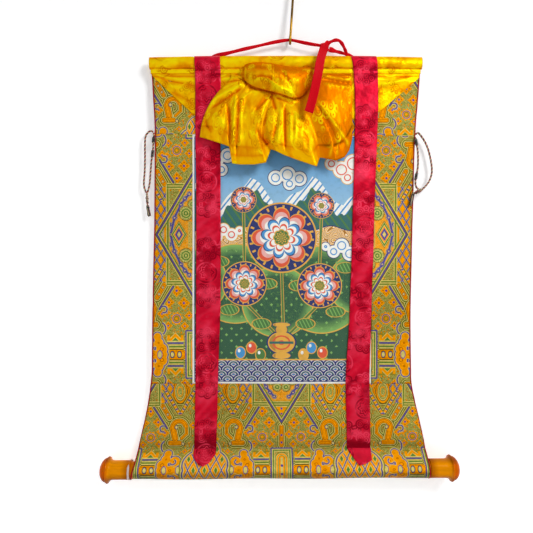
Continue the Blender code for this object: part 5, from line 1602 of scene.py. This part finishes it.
def make_veil():
    """The golden veil: its sewn part under the ribbons, and the gathered lobes over the heading."""
    thick, wrinkle, silk = mm("veil_cloth"), mm("veil_wrinkle"), finish_of(golden_silk)

    def upper(u, v):
        left, right = VEIL_UPPER_EDGE[0][0], VEIL_UPPER_EDGE[-1][0]
        across = left + (right - left) * u
        low = straight_at(VEIL_UPPER_EDGE, across)[0]
        down = 27.4 + (low - 27.4) * v
        crinkle = 0.35 * rumple(across / 15.0, down / 8.0, 6.0)
        furrow = ease(45, 90, across) * (1 - ease(60, 80, down))
        crinkle += 0.5 * math.sin(down / 5.5 + across / 26.0) * furrow
        loose = crinkle * ease(30, 40, down)
        point = Vector((across, down, 2.0 + loose * (1 - ease(0.9, 1.0, v)) + ripple(across, down)))
        crease = crease_lift(point)
        # Painted light: lighter on the creases' ridges and with the crinkles, darker in the creases' valleys,
        # painted shade along a line under the heading and a painted highlight below it.
        ridge = crease * 0.5 + loose
        ridge -= 0.9 * hump(down, 33.0, 1.6) - 0.5 * hump(down, 38.0, 2.0)
        point.z += 0.6 * crease
        if 98 < abs(across) < 162:      # pressed flat under the ribbons
            point.z = min(point.z, 3.0)
        return point, (across, down, ridge)
    sewn = cloth("veil_sewn", upper, 170, 34, thick, silk)
    attach(sewn, "veil_upper")

    def gathered(u, v):
        point = route_at(veil_column(u), v)
        below = plateau(v, 0.5, 0.62, 0.86, 0.95) * plateau(u, 0.0, 0.06, 0.94, 1.0)
        fan = rumple(u * 26.0, v * 1.6, 2.0) + 0.5 * rumple(u * 60.0, v * 2.4, 7.0)
        over = plateau(v, 0.12, 0.2, 0.44, 0.5) * plateau(u, 0.1, 0.2, 0.7, 0.8)
        drape = rumple(u * 5.0 + v * 4.0, v * 16.0, 4.0)
        crease = crease_lift(point)
        stitch = hump(v, 0.935, 0.007)
        if 0.22 < u < 0.41:
            stitch += hump(v, 0.965, 0.006)
        point.z += wrinkle * (0.18 * below * fan + over * drape * 0.9) + crease - 0.5 * stitch
        # Painted light on the lobes: lighter on the creases' ridges, darker in their valleys, with the
        # wrinkles and the drape; on the hood painted shade on the brim and a painted highlight on the lip;
        # painted shade over the whole veil, more over its right part and over the hood, and a painted dark
        # band under the hood's lip. The hem's stitch lines are darker too.
        ridge = crease * 0.5 + 0.25 * below * fan + over * drape * 0.7
        ridge += over * (0.5 * ease(0.36, 0.42, v) - 0.55 * (1 - ease(0.28, 0.36, v)))
        ridge -= 0.15 + 0.95 * ease(0.7, 0.82, u)
        ridge -= 0.35 * plateau(v, 0.1, 0.16, 0.46, 0.52) * ease(0.08, 0.16, u)
        ridge -= 0.8 * hump(v, 0.56, 0.05) * plateau(u, 0.1, 0.2, 0.66, 0.76)
        return point, (u * 330.0, v * 190.0, max(-1.08, min(1.0, ridge)) - 0.6 * stitch)
    lobes = cloth("veil_lobes", gathered, 260, 120, thick, silk)
    attach(lobes, "veil_gather")


KNOB_SEGMENTS = 64
KNOB_COVE = 8.5             # length of the flare behind the rim
KNOB_DOME = 13.0


def turned(name, profile, finish):
    """Solid turned about the rod's axis from a profile of (across, radius)."""
    bm = bmesh.new()
    verts = [bm.verts.new((across, 0.0, radius)) for across, radius in profile]
    edges = [bm.edges.new(pair) for pair in zip(verts, verts[1:])]
    bmesh.ops.spin(bm, geom=verts + edges, cent=(0, 0, 0), axis=(1, 0, 0), angle=2 * math.pi,
                   steps=KNOB_SEGMENTS, use_merge=True)
    bmesh.ops.remove_doubles(bm, verts=bm.verts, dist=0.001)
    for vert in bm.verts:
        across, toward_back, up = vert.co
        vert.co = round_the_rod(across, -up, -toward_back)
    return finish_mesh(name, bm, [finish], crease=50)


def make_roller():
    """Turned and lacquered knobs, and the rod's wood."""
    for name, inner, shoulder, outer, side, node in (
            ("knob_left", ROD_ENDS[0] - GAP, KNOB_SHOULDERS[0], KNOB_TIPS[0], -1, "left_knob"),
            ("knob_right", ROD_ENDS[1] + GAP, KNOB_SHOULDERS[1], KNOB_TIPS[1], 1, "right_knob")):
        rim = outer - KNOB_DOME * side
        points = [(inner, 0.0), (inner, ROD_RADIUS - 0.5), (inner + 0.5 * side, ROD_RADIUS),
                  (shoulder, ROD_RADIUS), (shoulder, KNOB_RADIUS - 0.8)]
        points += [(shoulder + 0.8 * side * (1 - math.cos(t)), KNOB_RADIUS - 0.8 + 0.8 * math.sin(t))
                   for t in (0.5, 1.0, 1.57)]
        cove_start = rim - (KNOB_COVE + 2.0) * side
        for i in range(11):
            turn = math.pi / 2 * i / 10
            points.append((cove_start + KNOB_COVE * math.sin(turn) * side,
                           KNOB_RADIUS + (KNOB_RIM - 0.8 - KNOB_RADIUS) * (1 - math.cos(turn))))
        points += [(rim - 1.0 * side, KNOB_RIM - 0.2), (rim - 0.4 * side, KNOB_RIM),
                   (rim + 0.2 * side, KNOB_RIM - 0.3), (rim + 0.6 * side, KNOB_RIM - 1.2)]
        for i in range(13):
            turn = math.pi / 2 * i / 12
            points.append((rim + (0.9 + (KNOB_DOME - 0.9) * math.sin(turn)) * side,
                           (KNOB_RIM - 1.7) * math.cos(turn)))
        attach(turned(name, points, finish_of(amber_finish)), node)

    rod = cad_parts["bottom_rod"]
    rod.data.materials.clear()
    rod.data.materials.append(finish_of(wood_finish))


OUTWARDS = Vector((0.0, 0.0, 1.0))


def sideways_of(way):
    """Unit step across a way, in the scroll's plane."""
    return Vector((way.y, -way.x, 0.0)).normalized()


def tape_section(width, thickness, splay=0.0, splay_end=0.0):
    """Section of the folded tape: a flat oval with a slit on one edge, opening out at its ends."""
    def section(f, turn):
        wave = 1 + 0.12 * math.sin(f * 23.0) + splay * (1 - ease(0.06, 0.3, f))
        wave += splay_end * ease(0.6, 0.9, f)
        side, front = math.cos(turn), math.sin(turn)
        slit = 0.35 * hump(turn, math.pi, 0.35)
        lean = 1.2 + 0.3 * math.sin(f * 5.0)
        flat_side = side * width * 0.62 * (1 - slit) * wave
        flat_front = front * thickness / 2
        return (flat_side * math.sin(lean) + flat_front * math.cos(lean),
                flat_side * math.cos(lean) - flat_front * math.sin(lean))
    return section


def make_hanger():
    """The red tape from the heading over the hook, with its knot, bow and flat free end."""
    finish = finish_of(tape_finish)
    cords = {}
    for name, route, splay, splay_end, node in (("tape_long", TAPE_LONG, 0.5, 0.0, "hanger_long"),
                                                ("tape_short", TAPE_SHORT, 0.5, 0.4, "hanger_short"),
                                                ("tape_bow", BOW, 0.0, 0.0, "hanger_bow")):
        points = even_route(route, 1.6)
        bm = bmesh.new()
        sweep(bm, points, tape_section(mm("tape_width"), 3.0, splay, splay_end), 16)
        cords[name] = attach(finish_mesh(name, bm, [finish], crease=60), node), points

    bm = bmesh.new()
    middle = Vector(TAPE_KNOT)
    for start, tilt, (wide, high, deep), band in ((0.3, 0.5, (6.4, 7.0, 3.8), 7.6),
                                                  (2.2, -0.7, (5.8, 6.4, 3.4), 6.6),
                                                  (4.0, 0.1, (5.0, 7.0, 4.1), 7.2)):
        loop = []
        for i in range(44):
            turn = start + 2 * math.pi * 1.12 * i / 43
            around = Vector((wide * math.cos(turn), high * 0.35 * math.sin(turn * 2) * tilt,
                             deep * math.sin(turn)))
            loop.append(middle + Vector((around.x * math.cos(tilt) - around.y * math.sin(tilt),
                                         around.x * math.sin(tilt) + around.y * math.cos(tilt), around.z)))
        sweep(bm, loop, tape_section(band, 1.7), 12)
    knot = attach(finish_mesh("tape_knot", bm, [finish], crease=60), "hanger_knot")

    def free_end(u, v):
        point = route_at(TAIL, v)
        sideways = sideways_of(route_at(TAIL, min(1.0, v + 0.02)) - route_at(TAIL, max(0.0, v - 0.02)))
        wide = mm("tail_width") * (0.8 + 0.2 * min(1.0, v / 0.06))
        bend = 0.9 * math.sin(v * 9.0 + 1.0) * (u - 0.5) + 0.5 * (4 * (u - 0.5) ** 2)
        point += sideways * wide * (u - 0.5) + Vector((0.0, 1.2 * (u - 0.5) * ease(0.96, 1.0, v), bend))
        return point, (u * 14.0, v * 128.0)
    tail = cloth("tape_tail", free_end, 12, 70, mm("ribbon_cloth"), finish)
    attach(tail, "hanger_tail")
    for name, (cord, points) in cords.items():
        tuple(place(*points[0]))
        length_of(points)
        "knot" if name == "tape_long" else "object"
        "loose" if name == "tape_bow" else "taut"
        metres(points)
        [knot] if name == "tape_long" else []


def plies_into(bm, points, radius, pitch, phase=0.0):
    """Add three plies twisted round each other along points."""
    frames = frames_along(points)
    travelled = 0.0
    paths = [[], [], []]
    for i, point in enumerate(points):
        if i:
            travelled += (points[i] - points[i - 1]).length
        _, side, front = frames[i]
        for ply in range(3):
            turn = 2 * math.pi * (travelled / pitch + ply / 3) + phase
            paths[ply].append(point + (side * math.cos(turn) + front * math.sin(turn)) * radius * 0.54)
    for ply, path in enumerate(paths):
        sweep(bm, path, round_section(radius * 0.6), 6, ply)


COIL_TURNS = 6.5
TASSEL_STRANDS = 34


def tie_knot(name, top, foot, wide, bindings, radius):
    """Yarn wound round both strands of a tie, with the small bindings further up."""
    top, foot = Vector(top), Vector(foot)
    way = foot - top
    sideways = sideways_of(way)
    coil = []
    for i in range(150):
        f = i / 149
        turn = 2 * math.pi * COIL_TURNS * f
        bulge = 0.62 + 0.3 * math.sin(math.pi * min(1.0, f * 1.1)) + 0.12 * math.sin(f * 19.0)
        bulge = wide * bulge - radius * 0.8
        around = sideways * bulge * math.cos(turn) + OUTWARDS * bulge * 0.9 * math.sin(turn)
        coil.append(top + way * f + around)
    bm = bmesh.new()
    plies_into(bm, coil, radius * 0.8, 5.0)
    for start, end in bindings:
        wind = []
        for i in range(60):
            turn = i * 0.62
            round_it = Vector((math.cos(turn), 0.0, math.sin(turn))) * (radius + 0.75)
            wind.append(Vector(start).lerp(Vector(end), i / 59) + round_it)
        sweep(bm, wind, round_section(0.62), 6, 1)
    return finish_mesh(name, bm, [finish_of(yarn_finish)], crease=80)


def tie_tassel(name, head, tip, head_width, seed):
    """Loose strands of yarn, spreading from a wrapped head."""
    head, tip = Vector(head), Vector(tip)
    way = tip - head
    sideways = sideways_of(way)
    bm = bmesh.new()
    for strand in range(TASSEL_STRANDS):
        angle, ring = strand * 2.4, math.sqrt((strand + 0.5) / TASSEL_STRANDS)
        across = sideways * math.cos(angle) + OUTWARDS * math.sin(angle)
        spread = 0.5 + 0.9 * rumple(strand * 3.1, seed, 0.0)
        line = []
        for step in range(9):
            f = step / 8
            tight = 1.0 - 0.35 * hump(f, 0.2, 0.1)
            reach = ring * head_width / 2 * (0.5 + 0.25 * tight + 0.9 * spread * f)
            wiggle = 0.3 * rumple(strand * 1.7, f * 4, 2.0)
            line.append(head + way * f * (0.9 + 0.1 * math.cos(strand)) + across * (reach + wiggle * f))
        sweep(bm, line, round_section(0.62, lambda f: 1.0 - 0.4 * f), 5, (1, 0, 1, 2)[strand % 4])
    wraps = []
    for i in range(41):
        around = sideways * math.cos(i * 0.5) + OUTWARDS * math.sin(i * 0.5)
        wraps.append(head + way * (0.16 + 0.1 * i / 40) + around * head_width * 0.45)
    sweep(bm, wraps, round_section(0.4), 6, 1)
    return finish_mesh(name, bm, [finish_of(yarn_finish)], crease=80)


def make_ties():
    """Twisted yarn ties that hang from the brocade's edges, each pair ending in a knot and a small tassel."""
    radius = mm("tie_yarn") / 2
    cords = {}
    for side, strand, route in (("left", "outer", LEFT_TIE_OUTER), ("left", "inner", LEFT_TIE_INNER),
                                ("right", "outer", RIGHT_TIE_OUTER), ("right", "inner", RIGHT_TIE_INNER)):
        name = "yarn_%s_%s" % (side, strand)
        points = even_route(route, 0.7)
        bm = bmesh.new()
        plies_into(bm, points, radius, 6.4)
        cord = finish_mesh(name, bm, [finish_of(yarn_finish)], crease=80)
        cords[side, strand] = attach(cord, "%s_tie_%s" % (side, strand)), points
    ends = {}
    for side, knot, bindings, tassel, seed in (("left", LEFT_TIE_KNOT, LEFT_BINDINGS, LEFT_TASSEL, 1),
                                               ("right", RIGHT_TIE_KNOT, RIGHT_BINDINGS, RIGHT_TASSEL, 0)):
        wound = tie_knot("yarn_%s_knot" % side, *knot, bindings, radius)
        strands = tie_tassel("yarn_%s_tassel" % side, *tassel, seed)
        ends[side] = [attach(wound, side + "_tie_knot"),
                      attach(strands, side + "_tie_tassel")]
    for (side, strand), (cord, points) in cords.items():
        own = ends[side] if strand == "outer" else []
        tuple(place(*points[0]))
        length_of(points)
        metres(points)


# ---------------------------------------------------------------- operators and panel

class SCROLL_OT_stage(bpy.types.Operator):
    """Camera, lights, wall and floor."""
    bl_idname = "scroll.stage"
    bl_label = "Set up the stage"

    def execute(self, context):
        set_up_stage()
        return {"FINISHED"}


class SCROLL_OT_hanger_tape(bpy.types.Operator):
    """Red tape over the hook, with its knot, bow and free end."""
    bl_idname = "scroll.hanger_tape"
    bl_label = "Make the hanging tape"

    def execute(self, context):
        make_hanger()
        return {"FINISHED"}


class SCROLL_OT_side_ties(bpy.types.Operator):
    """Twisted yarn ties with their knots and tassels."""
    bl_idname = "scroll.side_ties"
    bl_label = "Make the side ties"

    def execute(self, context):
        make_ties()
        return {"FINISHED"}


class SCROLL_OT_hook(bpy.types.Operator):
    """Brass wire hook with a closed eye."""
    bl_idname = "scroll.hook"
    bl_label = "Make the hook"

    def execute(self, context):
        make_hook()
        return {"FINISHED"}


class SCROLL_OT_brocade(bpy.types.Operator):
    """Four panels of brocade, the rod's pocket and the lining's frayed end."""
    bl_idname = "scroll.brocade"
    bl_label = "Make the brocade"

    def execute(self, context):
        make_brocade()
        return {"FINISHED"}


class SCROLL_OT_picture(bpy.types.Operator):
    """Painted cotton with a generic design."""
    bl_idname = "scroll.picture"
    bl_label = "Make the picture"

    def execute(self, context):
        make_picture()
        return {"FINISHED"}


class SCROLL_OT_heading(bpy.types.Operator):
    """Golden sleeve round the top rod and its sewn hem."""
    bl_idname = "scroll.heading"
    bl_label = "Make the heading"

    def execute(self, context):
        make_heading()
        return {"FINISHED"}


class SCROLL_OT_piping(bpy.types.Operator):
    """Dark red piping along both edges."""
    bl_idname = "scroll.piping"
    bl_label = "Make the piping"

    def execute(self, context):
        make_piping()
        return {"FINISHED"}


class SCROLL_OT_ribbons(bpy.types.Operator):
    """Two crimson ribbons down the scroll."""
    bl_idname = "scroll.ribbons"
    bl_label = "Make the ribbons"

    def execute(self, context):
        make_ribbons()
        return {"FINISHED"}


class SCROLL_OT_veil(bpy.types.Operator):
    """Golden veil, sewn part and gathered lobes."""
    bl_idname = "scroll.veil"
    bl_label = "Make the veil"

    def execute(self, context):
        make_veil()
        return {"FINISHED"}


class SCROLL_OT_roller(bpy.types.Operator):
    """Lacquered knobs and the rod's wood."""
    bl_idname = "scroll.roller"
    bl_label = "Make the roller"

    def execute(self, context):
        make_roller()
        return {"FINISHED"}


OPERATORS = (
    SCROLL_OT_stage, SCROLL_OT_hanger_tape, SCROLL_OT_side_ties, SCROLL_OT_hook, SCROLL_OT_brocade,
    SCROLL_OT_picture, SCROLL_OT_heading, SCROLL_OT_piping, SCROLL_OT_ribbons, SCROLL_OT_veil,
    SCROLL_OT_roller,
)


class SCROLL_PT_panel(bpy.types.Panel):
    """Sidebar panel that lists the scroll's sizes, colours and pieces."""
    bl_idname = "SCROLL_PT_panel"
    bl_label = "Thangka scroll"
    bl_space_type = "VIEW_3D"
    bl_region_type = "UI"
    bl_category = "Thangka"

    def draw(self, context):
        layout = self.layout
        for group, label in ((context.scene.scroll_sizes, "Sizes"),
                             (context.scene.scroll_colours, "Colours")):
            box = layout.box()
            box.label(text=label)
            for key in group.__annotations__:
                box.prop(group, key)
        for operator in OPERATORS:
            layout.operator(operator.bl_idname)


CLASSES = (ScrollSizes, ScrollColours, *OPERATORS, SCROLL_PT_panel)


def register():
    for cls in CLASSES:
        bpy.utils.register_class(cls)
    bpy.types.Scene.scroll_sizes = bpy.props.PointerProperty(type=ScrollSizes)
    bpy.types.Scene.scroll_colours = bpy.props.PointerProperty(type=ScrollColours)


def unregister():
    del bpy.types.Scene.scroll_colours
    del bpy.types.Scene.scroll_sizes
    for cls in reversed(CLASSES):
        bpy.utils.unregister_class(cls)


def main():
    """Make everything in order."""
    register()
    bpy.ops.scroll.stage()
    bpy.ops.scroll.hanger_tape()
    bpy.ops.scroll.side_ties()
    bpy.ops.scroll.hook()
    bpy.ops.scroll.brocade()
    bpy.ops.scroll.picture()
    bpy.ops.scroll.heading()
    bpy.ops.scroll.piping()
    bpy.ops.scroll.ribbons()
    bpy.ops.scroll.veil()
    bpy.ops.scroll.roller()
    bpy.context.view_layer.update()


if __name__ == "__main__":
    main()
